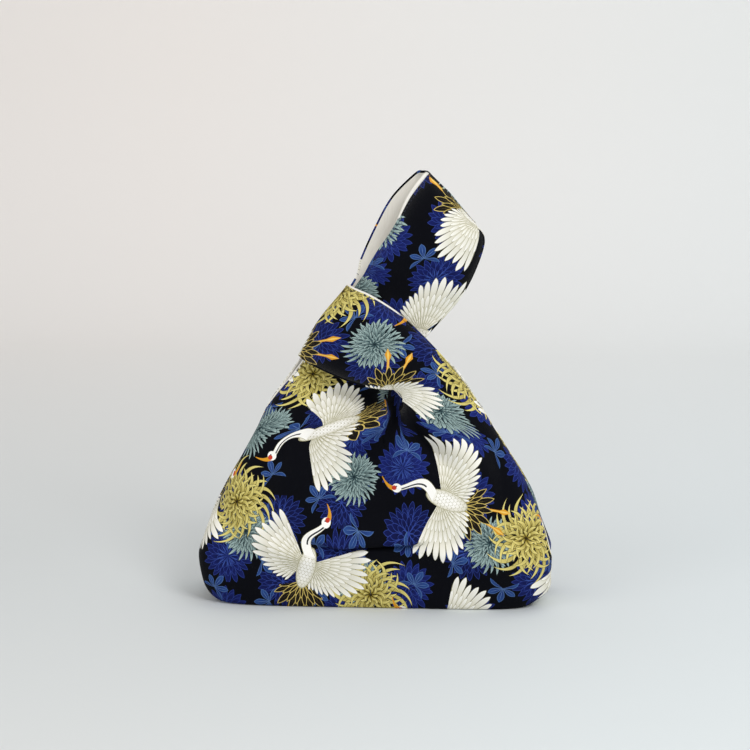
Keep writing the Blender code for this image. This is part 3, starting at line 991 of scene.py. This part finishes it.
def polar(spot):
    """Distance and angle round the figure's middle."""
    x, y = (put("SeparateXYZ", spot, out=axis) for axis in (0, 1))
    return put("VectorMath", spot, operation="LENGTH", out=0), put("ARCTAN2", y, x)


def stain(paint, where, colour):
    """Paints a colour over the cloth, as far as where allows."""
    return put("Mix", where, paint, colour, data_type="RGBA", clamp_factor=True)


# Width and height of each layer's cells in mm
BLUE_CELL, LEAF_CELL = (46.0, 43.0), (35.0, 32.0)
GREEN_CELL, GOLD_CELL, CRANE_CELL = (94.0, 86.0), (107.0, 99.0), (103.0, 101.0)
print("cranes per square metre of cloth:", round(1e6 / (CRANE_CELL[0] * CRANE_CELL[1])))

# %% [markdown]
# # Petals and feathers
# Flowers, leaves, wings and tails are all the same thing on this cloth: narrow shapes that stand side
# by side round a point. One function draws such a ring. It says how much room there is from a place
# to the side of its petal, in millimetres, and how far along the petal the place is. A positive room
# is inside the petal, and a small positive room is its outline.

# %% A ring of petals


def petals(distance, angle, count, reach, fill, power, curl=0.0, hook=2.0, phase=0.0, vary=0.0,
           seed=0.0, whole=True):
    """Room in mm to the side of the petal, and the share along it.

    count is the number in a whole turn, fill how much of its sector a petal takes at the root, and
    power how late it narrows. curl and hook bend it sideways towards its tip, phase turns the ring by
    a share of a sector, and vary shortens some petals, which seed chooses.
    whole is for a ring that closes, in which the last petal and the first are the same one.
    """
    along = put("DIVIDE", distance, reach)
    bent = put("MULTIPLY_ADD", angle, count / (2 * pi), phase)
    if curl:
        bent = put("MULTIPLY_ADD", put("POWER", along, hook), curl, bent)
    if vary:
        number = put("FLOOR", bent)
        if whole:
            number = put("FLOORED_MODULO", number, float(count))
        chance = put("TexWhiteNoise", put("ADD", number, seed), noise_dimensions="1D")
        along = put("DIVIDE", along, put("MULTIPLY_ADD", chance, -vary, 1.0))
    off = put("ABSOLUTE", put("SUBTRACT", put("FRACT", bent), 0.5))
    side = put("MULTIPLY_ADD", put("POWER", along, power), -0.5 * fill, 0.5 * fill)
    room = put("MULTIPLY", put("MULTIPLY", put("SUBTRACT", side, off), distance), 2 * pi / count)
    return room, along


def paint_petals(paint, ring, root, tip, line, line_width, inside=None, tip_start=0.0):
    """Paints a ring of petals, shaded from root to tip, with an outline."""
    room, along = ring
    shade = put("MapRange", along, tip_start, 1.0, 0.0, 1.0)
    colour = put("Mix", shade, root, tip, data_type="RGBA")
    colour = stain(colour, put("LESS_THAN", room, line_width), line)
    where = put("GREATER_THAN", room, 0.0)
    if inside is not None:
        where = put("MULTIPLY", where, inside)
    return stain(paint, where, colour)


print("room in the middle of one of 24 petals, 20 mm out, in mm:", round(20.0 * pi / 24, 1))

# %% [markdown]
# # The blue ground
# The print is a new one, of common traditional figures: flowers and leaves in royal blue on a navy
# ground, grey-green and golden chrysanthemums over them, and white cranes on top. A blue flower is
# five rings of broad petals, and some have a paler daisy over them. Each flower has its own depth of
# blue, as if some lay further back, so the ground stays quiet behind the bright figures.

# %% Blue flowers and leaves
NAVY = "#05060d"
# Petals in a turn, reach in mm and turn of each ring, from the outermost one
BLUE_RINGS = ((19, 21.5, 0.0), (17, 17.5, 0.5), (14, 13.5, 0.2), (11, 9.5, 0.6), (7, 5.5, 0.1))


def blue_ground(flat):
    """Navy cloth with blue flowers, daisies and sprays of leaves."""
    paint = NAVY
    spot, chance = cell(flat, *BLUE_CELL, 3.0, 5.0)
    distance, angle = polar(spot)
    shown = put("LESS_THAN", chance, 0.92)
    tip = put("Mix", put("FRACT", put("MULTIPLY", chance, 13.0)), "#10174a", "#1e2b7a", data_type="RGBA")
    for count, reach, phase in BLUE_RINGS:
        ring = petals(distance, angle, count, reach, 0.98, 6.0, curl=0.15, phase=phase, vary=0.16, seed=reach)
        paint = paint_petals(paint, ring, "#0a0e30", tip, "#2f4290", 0.32, shown, 0.35)
    daisy = petals(distance, angle, 15, 10.0, 0.60, 2.4, phase=0.3, vary=0.16, seed=2.0)
    paint = paint_petals(paint, daisy, "#23347c", "#3f5ba6", "#111950", 0.12, put("LESS_THAN", chance, 0.42))
    spot, chance = cell(flat, *LEAF_CELL, 8.0, 4.0, (0.5, 0.25))
    distance, angle = polar(turned(spot, chance, 0.0, TURN))
    shown = put("MULTIPLY", put("GREATER_THAN", chance, 0.25), put("LESS_THAN", put("ABSOLUTE", angle), 2.1))
    ring = petals(distance, angle, 6, 14.0, 0.78, 3.4, phase=0.5, vary=0.30, seed=5.0)
    paint = paint_petals(paint, ring, "#1c2c66", "#30508c", "#5474a8", 0.36, shown)
    vein = petals(distance, angle, 6, 11.5, 0.07, 2.0, phase=0.5, vary=0.30, seed=5.0)
    return stain(paint, put("MULTIPLY", put("GREATER_THAN", vein[0], 0.0), shown), "#6683b4")


print("rings in a blue flower:", len(BLUE_RINGS))

# %% [markdown]
# # Chrysanthemums
# A grey-green chrysanthemum is a dense ball of short petals. A golden one is open, with long thin
# petals of uneven length that curl like hooks. Both are rings of petals that lie over each other, from
# the outermost to the innermost, and each ring curls against the one below it, so that its petals
# cross the others as real ones do.

# %% Grey-green and golden chrysanthemums
# Petals in a turn and reach in mm of each ring, and for the golden ones also fill, curl and vary
GREEN_RINGS = ((29, 24.5), (27, 21.5), (25, 18.5), (22, 15.5), (18, 12.0), (13, 8.5), (8, 5.0))
GOLD_RINGS = ((22, 35.0, 0.62, 3.0, 0.38), (20, 29.0, 0.66, -2.6, 0.36), (18, 23.0, 0.72, 2.2, 0.34),
              (15, 17.0, 0.78, -1.7, 0.30), (12, 11.5, 0.84, 1.3, 0.25), (8, 6.5, 0.90, -0.9, 0.2))


def green_flowers(paint, flat):
    """Paints the grey-green chrysanthemums over the ground."""
    spot, chance = cell(flat, *GREEN_CELL, 21.0, 13.0, (0.35, 0.6))
    distance, angle = polar(spot)
    for order, (count, reach) in enumerate(GREEN_RINGS):
        ring = petals(distance, angle, count, reach, 0.90, 5.0, curl=1.0 * (-1) ** order, hook=3.0,
                      phase=order * 0.37, vary=0.28, seed=reach)
        paint = paint_petals(paint, ring, "#50686a", "#aec4c0", "#1f2e34", 0.28, None, 0.45)
    return paint


def golden_flowers(paint, flat):
    """Paints the golden chrysanthemums, each turned its own way."""
    spot, chance = cell(flat, *GOLD_CELL, 34.0, 15.0, (0.10, 0.05))
    distance, angle = polar(turned(spot, chance, 0.0, TURN))
    shown = put("LESS_THAN", chance, 0.86)
    for count, reach, fill, curl, vary in GOLD_RINGS:
        ring = petals(distance, angle, count, reach, fill, 6.0, curl=curl, hook=3.5, vary=vary, seed=reach)
        paint = paint_petals(paint, ring, "#8f7c28", "#ecdf8a", "#2e2612", 0.30, shown, 0.30)
    return paint


print("petals in a golden flower:", sum(ring[0] for ring in GOLD_RINGS))

# %% [markdown]
# # The cranes
# A crane is drawn as it flies, with both wings spread. It could be one picture that is stamped all
# over the cloth, but drawn from nodes it stays sharp, and each bird gets its own turn, and wings that
# are lifted its own way. It is drawn from the back to the front. First come the legs, two lines that
# part, and the tail, whose feathers are black leaves with a golden line round them. Every second
# bird or so is mirrored.

# %% Place, legs and tail of a crane
WHITE, CREAM_SHADE, FEATHER_LINE = "#fffdf7", "#dedac8", "#aaa582"
GOLD_LINE, LEG_GOLD, CROWN_RED, INK = "#cdb665", "#dc9a2c", "#c8402e", "#14110f"
# Reach in mm and turn of the tail's rings
TAIL_RINGS = ((26.0, 0.0), (20.0, 0.5), (13.5, 0.0))


def crane_spot(flat):
    """In a crane's cell: the place in mm with its X and Y, mirrored for some, and a random number."""
    spot, chance = cell(flat, *CRANE_CELL, 55.0, 0.5, (0.42, 0.30))
    spot = turned(spot, chance, 0.0, TURN)
    x, y = (put("SeparateXYZ", spot, out=axis) for axis in (0, 1))
    half_of_them = put("GREATER_THAN", put("FRACT", put("MULTIPLY", chance, 7.0)), 0.5)
    mirror = put("MULTIPLY_ADD", half_of_them, 2.0, -1.0)
    x = put("MULTIPLY", x, mirror)
    return put("CombineXYZ", x, y, 0.0), x, y, chance


def paint_legs(paint, aside, y):
    """Paints two legs that part, and end in a foot."""
    down = put("SUBTRACT", -18.0, y)
    off = put("ABSOLUTE", put("SUBTRACT", aside, put("MULTIPLY_ADD", down, 0.20, 2.2)))
    foot = put("MapRange", down, 24.5, 30.0, 2.3, 0.0)
    thick = put("MINIMUM", put("MapRange", down, 20.0, 24.5, 0.85, 2.3), foot)
    on_leg = put("COMPARE", down, 14.0, 15.8)
    paint = stain(paint, put("MULTIPLY", put("LESS_THAN", off, thick), on_leg), LEG_GOLD)
    lit = put("MULTIPLY", put("LESS_THAN", off, put("MULTIPLY", thick, 0.35)), on_leg)
    return stain(paint, lit, "#efc766")


def paint_tail(paint, spot):
    """Paints the tail: rings of black feathers with a golden line and a thin quill."""
    tail = put("VectorMath", spot, (0.0, 10.0, 0.0), operation="ADD")
    tail_x, tail_y = (put("SeparateXYZ", tail, out=axis) for axis in (0, 1))
    tail_angle = put("ARCTAN2", tail_x, put("MULTIPLY", tail_y, -1.0))
    tail_distance = put("VectorMath", tail, operation="LENGTH", out=0)
    spread = put("LESS_THAN", put("ABSOLUTE", tail_angle), 1.15)
    for reach, phase in TAIL_RINGS:
        ring = petals(tail_distance, tail_angle, 17, reach, 0.98, 4.0, phase=phase, vary=0.15, whole=False)
        paint = paint_petals(paint, ring, INK, "#1a1613", GOLD_LINE, 0.50, spread)
        quill = petals(tail_distance, tail_angle, 17, reach * 0.8, 0.05, 2.0, phase=phase, vary=0.15,
                       whole=False)
        paint = stain(paint, put("MULTIPLY", put("GREATER_THAN", quill[0], 0.0), spread), "#7d6d3a")
    return paint


print("rings of feathers in a tail:", len(TAIL_RINGS))

# %% [markdown]
# # Wings
# A wing is rows of feathers round the shoulder, five over each other, the longest at the wing's tip.
# The two wings could be drawn one after the other, but one set of nodes draws both, because it
# measures the distance from the bird's middle line. Only the angle to which a wing is lifted differs
# from side to side.

# %% Wings of a crane
# Share of the wing's reach, feathers in a turn, power and vary of each row, from the longest one
WING_ROWS = ((1.0, 48, 14.0, 0.12), (0.70, 48, 12.0, 0.05), (0.50, 46, 10.0, 0.05),
             (0.34, 42, 8.0, 0.05), (0.20, 34, 6.0, 0.05))


def paint_wings(paint, x, y, aside, chance):
    """Paints both wings as rows of feathers round the shoulder."""
    shoulder = put("VectorMath", put("CombineXYZ", aside, y, 0.0), (-2.0, -5.0, 0.0), operation="ADD")
    wing_distance, wing_angle = polar(shoulder)
    lifted = put("MULTIPLY_ADD", put("LESS_THAN", x, 0.0), 0.34, wing_angle)
    lifted = put("ADD", lifted, put("MULTIPLY_ADD", chance, 0.5, -0.25))
    reach = put("MapRange", lifted, -1.25, 0.15, 22.0, 46.0, interpolation_type="SMOOTHSTEP")
    wing = put("COMPARE", lifted, -0.32, 0.98)
    for share, count, power, vary in WING_ROWS:
        row = put("MULTIPLY", reach, share)
        ring = petals(wing_distance, lifted, count, row, 0.98, power, phase=share, vary=vary,
                      seed=share * 40, whole=False)
        paint = paint_petals(paint, ring, CREAM_SHADE, WHITE, FEATHER_LINE, 0.20, wing, 0.62)
    return paint


print("rows of feathers in a wing:", len(WING_ROWS))

# %% [markdown]
# # Body, neck and head
# The body is an oval that is covered with small rounded feathers, like tiles. The neck is a wave, to
# which its white, its outline and its dark stripe are all bound, so that they bend together, and it
# ends in a beak and a round head with a red crown.

# %% Body, neck and head of a crane
# Place and radius in mm, and colour, of the head, its crown and its eye
HEAD = (((-4.4, 37.4), 3.3, WHITE), ((-4.9, 39.1), 1.7, CROWN_RED), ((-3.4, 38.0), 0.5, INK))


def small_feathers(x, y, size):
    """Thin curved lines of small feathers that overlap like tiles."""
    up = put("MULTIPLY", y, 1 / size)
    row = put("FLOOR", up)
    beside = put("MULTIPLY_ADD", put("FLOORED_MODULO", row, 2.0), 0.5, put("MULTIPLY", x, 1 / size))
    off = put("SUBTRACT", put("FRACT", beside), 0.5)
    bend = put("MULTIPLY_ADD", put("MULTIPLY", off, off), 2.6, 0.18)
    return put("COMPARE", put("FRACT", up), bend, 0.08)


def paint_body(paint, spot, x, y):
    """Paints the oval body with its small feathers."""
    body = put("VectorMath", put("VectorMath", spot, (1 / 6.6, 1 / 16.0, 0.0), (0.0, -0.02, 0.0),
                                 operation="MULTIPLY_ADD"), operation="LENGTH", out=0)
    paint = stain(paint, put("LESS_THAN", body, 1.0), FEATHER_LINE)
    plumage = put("Mix", put("MapRange", body, 0.45, 0.95, 0.0, 1.0), WHITE, CREAM_SHADE, data_type="RGBA")
    plumage = stain(plumage, put("MULTIPLY", small_feathers(x, y, 2.6), put("LESS_THAN", y, 9.0)), "#b4af93")
    return stain(paint, put("LESS_THAN", body, 0.95), plumage)


def paint_neck(paint, spot, x, y):
    """Paints the waved neck, the beak and the head."""
    wave = put("MULTIPLY", put("SINE", put("MULTIPLY_ADD", y, 0.155, -1.6)), 5.5)
    off = put("SUBTRACT", x, wave)
    wide = put("MapRange", y, 10.0, 36.0, 4.2, 1.7)
    on_neck = put("COMPARE", y, 24.0, 14.0)
    beside = put("ABSOLUTE", off)
    outlined = put("LESS_THAN", beside, put("ADD", wide, 0.3))
    paint = stain(paint, put("MULTIPLY", outlined, on_neck), FEATHER_LINE)
    paint = stain(paint, put("MULTIPLY", put("LESS_THAN", beside, wide), on_neck), WHITE)
    stripe = put("MULTIPLY", put("COMPARE", off, -0.9, 0.6), put("COMPARE", y, 27.0, 9.5))
    paint = stain(paint, stripe, "#2b3033")
    pointed = put("LESS_THAN", beside, put("MapRange", y, 38.0, 50.0, 2.0, 0.3))
    beak = put("MULTIPLY", pointed, put("COMPARE", y, 44.0, 6.0))
    paint = stain(paint, beak, LEG_GOLD)
    for middle, radius, colour in HEAD:
        away = put("VectorMath", spot, (*middle, 0.0), operation="DISTANCE", out=0)
        paint = stain(paint, put("LESS_THAN", away, radius), colour)
    return paint


def cranes(paint, flat):
    """Paints the cranes over everything else. Each flies its own way."""
    spot, x, y, chance = crane_spot(flat)
    aside = put("ABSOLUTE", x)
    paint = paint_legs(paint, aside, y)
    paint = paint_tail(paint, spot)
    paint = paint_wings(paint, x, y, aside, chance)
    paint = paint_body(paint, spot, x, y)
    return paint_neck(paint, spot, x, y)


print("round spots of a head:", len(HEAD))

# %% [markdown]
# # Printed cotton
# The outer cloth is plain-weave cotton with a reactive print: the dye is in the threads, so it is
# matt, with a soft edge of light from loose fibres, which is what Sheen gives. The threads lie about
# 0.35 mm apart, so a plain weave, which repeats after two of them, has a repeat of 0.7 mm. It is drawn
# a little coarser, at 0.8 mm, with 0.4 mm from thread to thread. At this distance threads can't be made
# out, on the real bag or here. Close up they lift the surface a little, and painted shade makes them
# lighter on top and darker in the dips between them.
# Washed cotton is never one even tone, so slow patches lighten and darken it, and fine pale fuzz
# gathers where the edges and seams are rubbed.

# %% Weave, and the outer cloth
# Repeat of the weave in mm, which is two threads
WEAVE = 0.8
RUBBED_COLOUR, RUBBED_MOST = "#d8d6d0", 0.09
COTTON_IOR, COTTON_GLOSS = 1.47, 0.09


def weave(flat):
    """Height of a plain weave, from -1 to 1."""
    x, y = (put("SeparateXYZ", flat, out=axis) for axis in (0, 1))
    return put("MULTIPLY", put("SINE", put("MULTIPLY", x, 2 * pi / WEAVE)),
               put("SINE", put("MULTIPLY", y, 2 * pi / WEAVE)))


def finish_cloth(shader, paint, flat, threads, weave_painted_shade, depth, roughness, sheen):
    """Colour with a painted shade of the weave, roughness, sheen and woven bump of a cotton cloth that is
    rubbed pale along its edges.
    """
    stretched = put("VectorMath", flat, (0.035, 0.028, 0.0), operation="MULTIPLY")
    patches = put("TexNoise", stretched, 1.0, 3.0, 0.5)
    # The weave's height also scales the colour: painted shade, lighter on top of the threads and darker
    # between them
    tone = put("MULTIPLY_ADD", threads, weave_painted_shade, put("MULTIPLY_ADD", patches, 0.16, 0.92))
    toned = put("VectorMath", paint, tone, operation="SCALE")
    fuzz = put("TexNoise", put("VectorMath", flat, (1.4, 1.4, 0.0), operation="MULTIPLY"), 1.0, 2.0, 0.6)
    rub = put("Attribute", attribute_name="rub", out=2)
    pale = put("MULTIPLY", rub, put("MapRange", fuzz, 0.35, 0.75, 0.0, RUBBED_MOST))
    toned = stain(toned, pale, RUBBED_COLOUR)
    bump = put("Bump", 1.0, depth, None, threads)
    tree.links.new(toned, shader.inputs["Base Color"])
    tree.links.new(bump, shader.inputs["Normal"])
    tree.links.new(put("MULTIPLY_ADD", patches, 0.12, roughness - 0.06), shader.inputs["Roughness"])
    shader.inputs["IOR"].default_value = COTTON_IOR
    shader.inputs["Specular IOR Level"].default_value = COTTON_GLOSS
    shader.inputs["Sheen Weight"].default_value = sheen
    shader.inputs["Sheen Roughness"].default_value = 0.5


# The panels are cut from different places of the printed cloth
CUT_FROM = {"front": (777.0, 1920.0, 0.0), "back": (2600.0, 1735.0, 0.0)}
printed = {}
for word, shift in CUT_FROM.items():
    printed[word], shader = start_material(f"printed cotton {word}")
    flat = flat_cloth(shift)
    paint = blue_ground(flat)
    paint = green_flowers(paint, flat)
    paint = golden_flowers(paint, flat)
    paint = cranes(paint, flat)
    finish_cloth(shader, paint, flat, weave(flat), 0.05, 0.00006, 0.84, 0.010)
    print("printed cotton", word, "nodes:", len(tree.nodes))

# %% [markdown]
# # Lining and thread
# The lining is an unbleached cotton of the same weave, without a print. Its yarn is uneven, which
# shows as faint slubs along the threads, so a noise that is stretched one way tints it. More of its
# fibres stand up, so it has more sheen. The stitches are polyester thread in navy: a smooth yarn that
# is a little shinier than cotton, and too thin to need a pattern.

# %% Lining and thread
lining_cloth, shader = start_material("cream cotton lining")
flat = flat_cloth((0.0, 0.0, 0.0))
slub = put("TexNoise", put("VectorMath", flat, (0.9, 0.12, 0.0), operation="MULTIPLY"), 1.0, 2.0, 0.5)
tint = put("Mix", slub, "#e6e1d6", "#f6f3ec", data_type="RGBA")
finish_cloth(shader, tint, flat, weave(flat), 0.03, 0.00005, 0.88, 0.06)

thread_finish, shader = start_material("polyester thread")
shader.inputs["Base Color"].default_value = srgb("#15182e")
shader.inputs["Roughness"].default_value = 0.55

for word in ("front", "back"):
    made_pieces[f"outer_{word}"][0].data.materials.append(printed[word])
    made_pieces[f"lining_{word}"][0].data.materials.append(lining_cloth)
    turned_edges.data.materials.append(printed[word])
    rolled_edges.data.materials.append(lining_cloth)
edge_stitches.data.materials.append(thread_finish)
print("materials:", [material.name for material in bpy.data.materials])

# %% [markdown]
# # The camera
# The camera stands a little to the bag's right and a little above it, more than a metre away, so the
# bag keeps nearly parallel sides. It aims at the middle of the bag, and a small vertical shift, rather
# than a tilt, sets the bag lower in the frame.

# %% Camera
studio = bpy.context.scene
camera = bpy.data.objects.new("camera", bpy.data.cameras.new("camera"))
studio.collection.objects.link(camera)
CAMERA_YAW, CAMERA_RISE, CAMERA_DISTANCE = radians(4.0), radians(9.0), 1.2625
TARGET = Vector((0.0, 0.0, 0.14))
back_way = Vector((sin(CAMERA_YAW) * cos(CAMERA_RISE), -cos(CAMERA_YAW) * cos(CAMERA_RISE), sin(CAMERA_RISE)))
camera.location = TARGET + back_way * CAMERA_DISTANCE
camera.rotation_mode = "QUATERNION"
camera.rotation_quaternion = (-back_way).to_track_quat("-Z", "Y")
camera.data.lens, camera.data.sensor_width = 81.8, 36.0
camera.data.shift_y = 35.0 / 750
camera.data.clip_start, camera.data.clip_end = 0.05, 20.0
studio.camera = camera
studio.view_settings.view_transform = "Standard"
print("camera at", [round(v, 3) for v in camera.location])

# %% [markdown]
# # The paper backdrop
# The bag stands on a sheet of pale matt paper that lies flat and then curves up behind, as
# photographers hang it, so that there is no line between floor and wall. Its colour changes slowly,
# and the changes are painted light and shade: a cool pale grey where it lies, warmer and paler where it
# stands, a little different from left to right, and paler near the camera. The painted light is in the
# paper's colour, because a brighter lamp would also wash out the bag.

# %% Backdrop
backdrop, shader = start_material("matt paper backdrop")
x, y, z = (put("SeparateXYZ", put("TexCoord", out=3), out=axis) for axis in (0, 1, 2))
# Painted light and shade: the paper is paler where it stands and near the camera, and shifts from warm to
# cool from left to right
standing = put("Mix", put("MapRange", x, -0.5, 0.5, 0.0, 1.0), "#f8f3ef", "#f3f4f3", data_type="RGBA")
lying = put("Mix", put("MapRange", x, -0.3, 0.3, 0.0, 1.0), "#d0d3d3", "#d7dddf", data_type="RGBA")
nearest = put("Mix", put("MapRange", x, -0.15, 0.15, 0.0, 1.0), "#d7d9d8", "#dae0e1", data_type="RGBA")
lying = put("Mix", put("MapRange", y, -0.60, -0.05, 0.0, 1.0), nearest, lying, data_type="RGBA")
tint = put("Mix", put("MapRange", put("ADD", y, z), 0.15, 2.5, 0.0, 1.0), lying, standing, data_type="RGBA")
tree.links.new(tint, shader.inputs["Base Color"])
shader.inputs["Roughness"].default_value = 0.95

# Half width and near end of the paper, where its curve begins, the curve's radius and the paper's top
PAPER_SIDE, PAPER_NEAR, CURVE_START, CURVE_RADIUS, PAPER_TOP = 8.0, -8.0, 1.5, 0.5, 3.0
# Rows of faces, and the shares of them at which the paper begins to curve and to stand
PAPER_ROWS, CURVES, STANDS = 40, 0.5, 0.8

floor_mesh = bmesh.new()
made = bmesh.ops.create_grid(floor_mesh, x_segments=2, y_segments=PAPER_ROWS, size=1.0)
for order, vertex in enumerate(made["verts"]):
    row, column = divmod(order, 3)
    share = row / PAPER_ROWS
    if share < CURVES:
        y, z = PAPER_NEAR + (CURVE_START - PAPER_NEAR) * share / CURVES, 0.0
    elif share < STANDS:
        turn = (share - CURVES) / (STANDS - CURVES) * pi / 2
        y, z = CURVE_START + CURVE_RADIUS * sin(turn), CURVE_RADIUS * (1 - cos(turn))
    else:
        y = CURVE_START + CURVE_RADIUS
        z = CURVE_RADIUS + (share - STANDS) / (1.0 - STANDS) * (PAPER_TOP - CURVE_RADIUS)
    vertex.co = ((column - 1) * PAPER_SIDE, y, z)
floor_data = bpy.data.meshes.new("studio floor")
floor_mesh.to_mesh(floor_data)
floor_mesh.free()
floor_data.polygons.foreach_set("use_smooth", [True] * len(floor_data.polygons))
floor = add_object("studio_floor", floor_data, backdrop)
print("floor faces:", len(floor_data.polygons))

# %% [markdown]
# # Soft light
# Most of the light comes from all round, from a pale room, as on a bright day by a window. A large
# soft box from the right and above gives the folds their shape, a weaker one from the left keeps the
# shaded side open, and a third lights only the backdrop. They are as strong as makes a colour render
# about as it is written.

# %% World and lamps
world = bpy.data.worlds.new("soft room")
studio.world = world
world.use_nodes = True
world.node_tree.nodes["Background"].inputs["Color"].default_value = (1.0, 1.0, 1.0, 1.0)
world.node_tree.nodes["Background"].inputs["Strength"].default_value = 0.64


def soft_box(name, place, aim, size, watts):
    """A square lamp at a place in metres, turned to its aim."""
    lamp = bpy.data.lights.new(name, "AREA")
    lamp.shape, lamp.size, lamp.energy = "SQUARE", size, watts
    holder = bpy.data.objects.new(name, lamp)
    studio.collection.objects.link(holder)
    holder.location = place
    holder.rotation_mode = "QUATERNION"
    holder.rotation_quaternion = (Vector(aim) - Vector(place)).to_track_quat("-Z", "Y")


soft_box("key", (0.9, -1.2, 1.3), (0, 0, 0.12), 0.7, 15.0)
soft_box("fill", (-1.2, -1.1, 0.8), (0, 0, 0.12), 0.9, 4.2)
soft_box("backdrop light", (0.3, 0.7, 2.2), (0.2, 2.0, 0.4), 1.4, 8.0)
print("lamps:", [lamp.name for lamp in bpy.data.lights])

# %% [markdown]
# # Back to the frame
# Every piece is tied to the body it moves with, and each of the four sheets of cloth takes the place
# of the plain panel it was made for.

# %% Tie the pieces to the frame
for name, (piece, area) in made_pieces.items():
    word = name.split("_")[1]
    panel = panels[FRONT if word == "front" else BACK]
    width, length = (float(v) for v in panel.flat_size)
    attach(piece, "root")
    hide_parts(f"{name}_panel")
for piece, slot in ((rolled_edges, "plain_cotton"), (turned_edges, "printed_cotton"),
                    (edge_stitches, "sewing_thread")):
    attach(piece, "root")
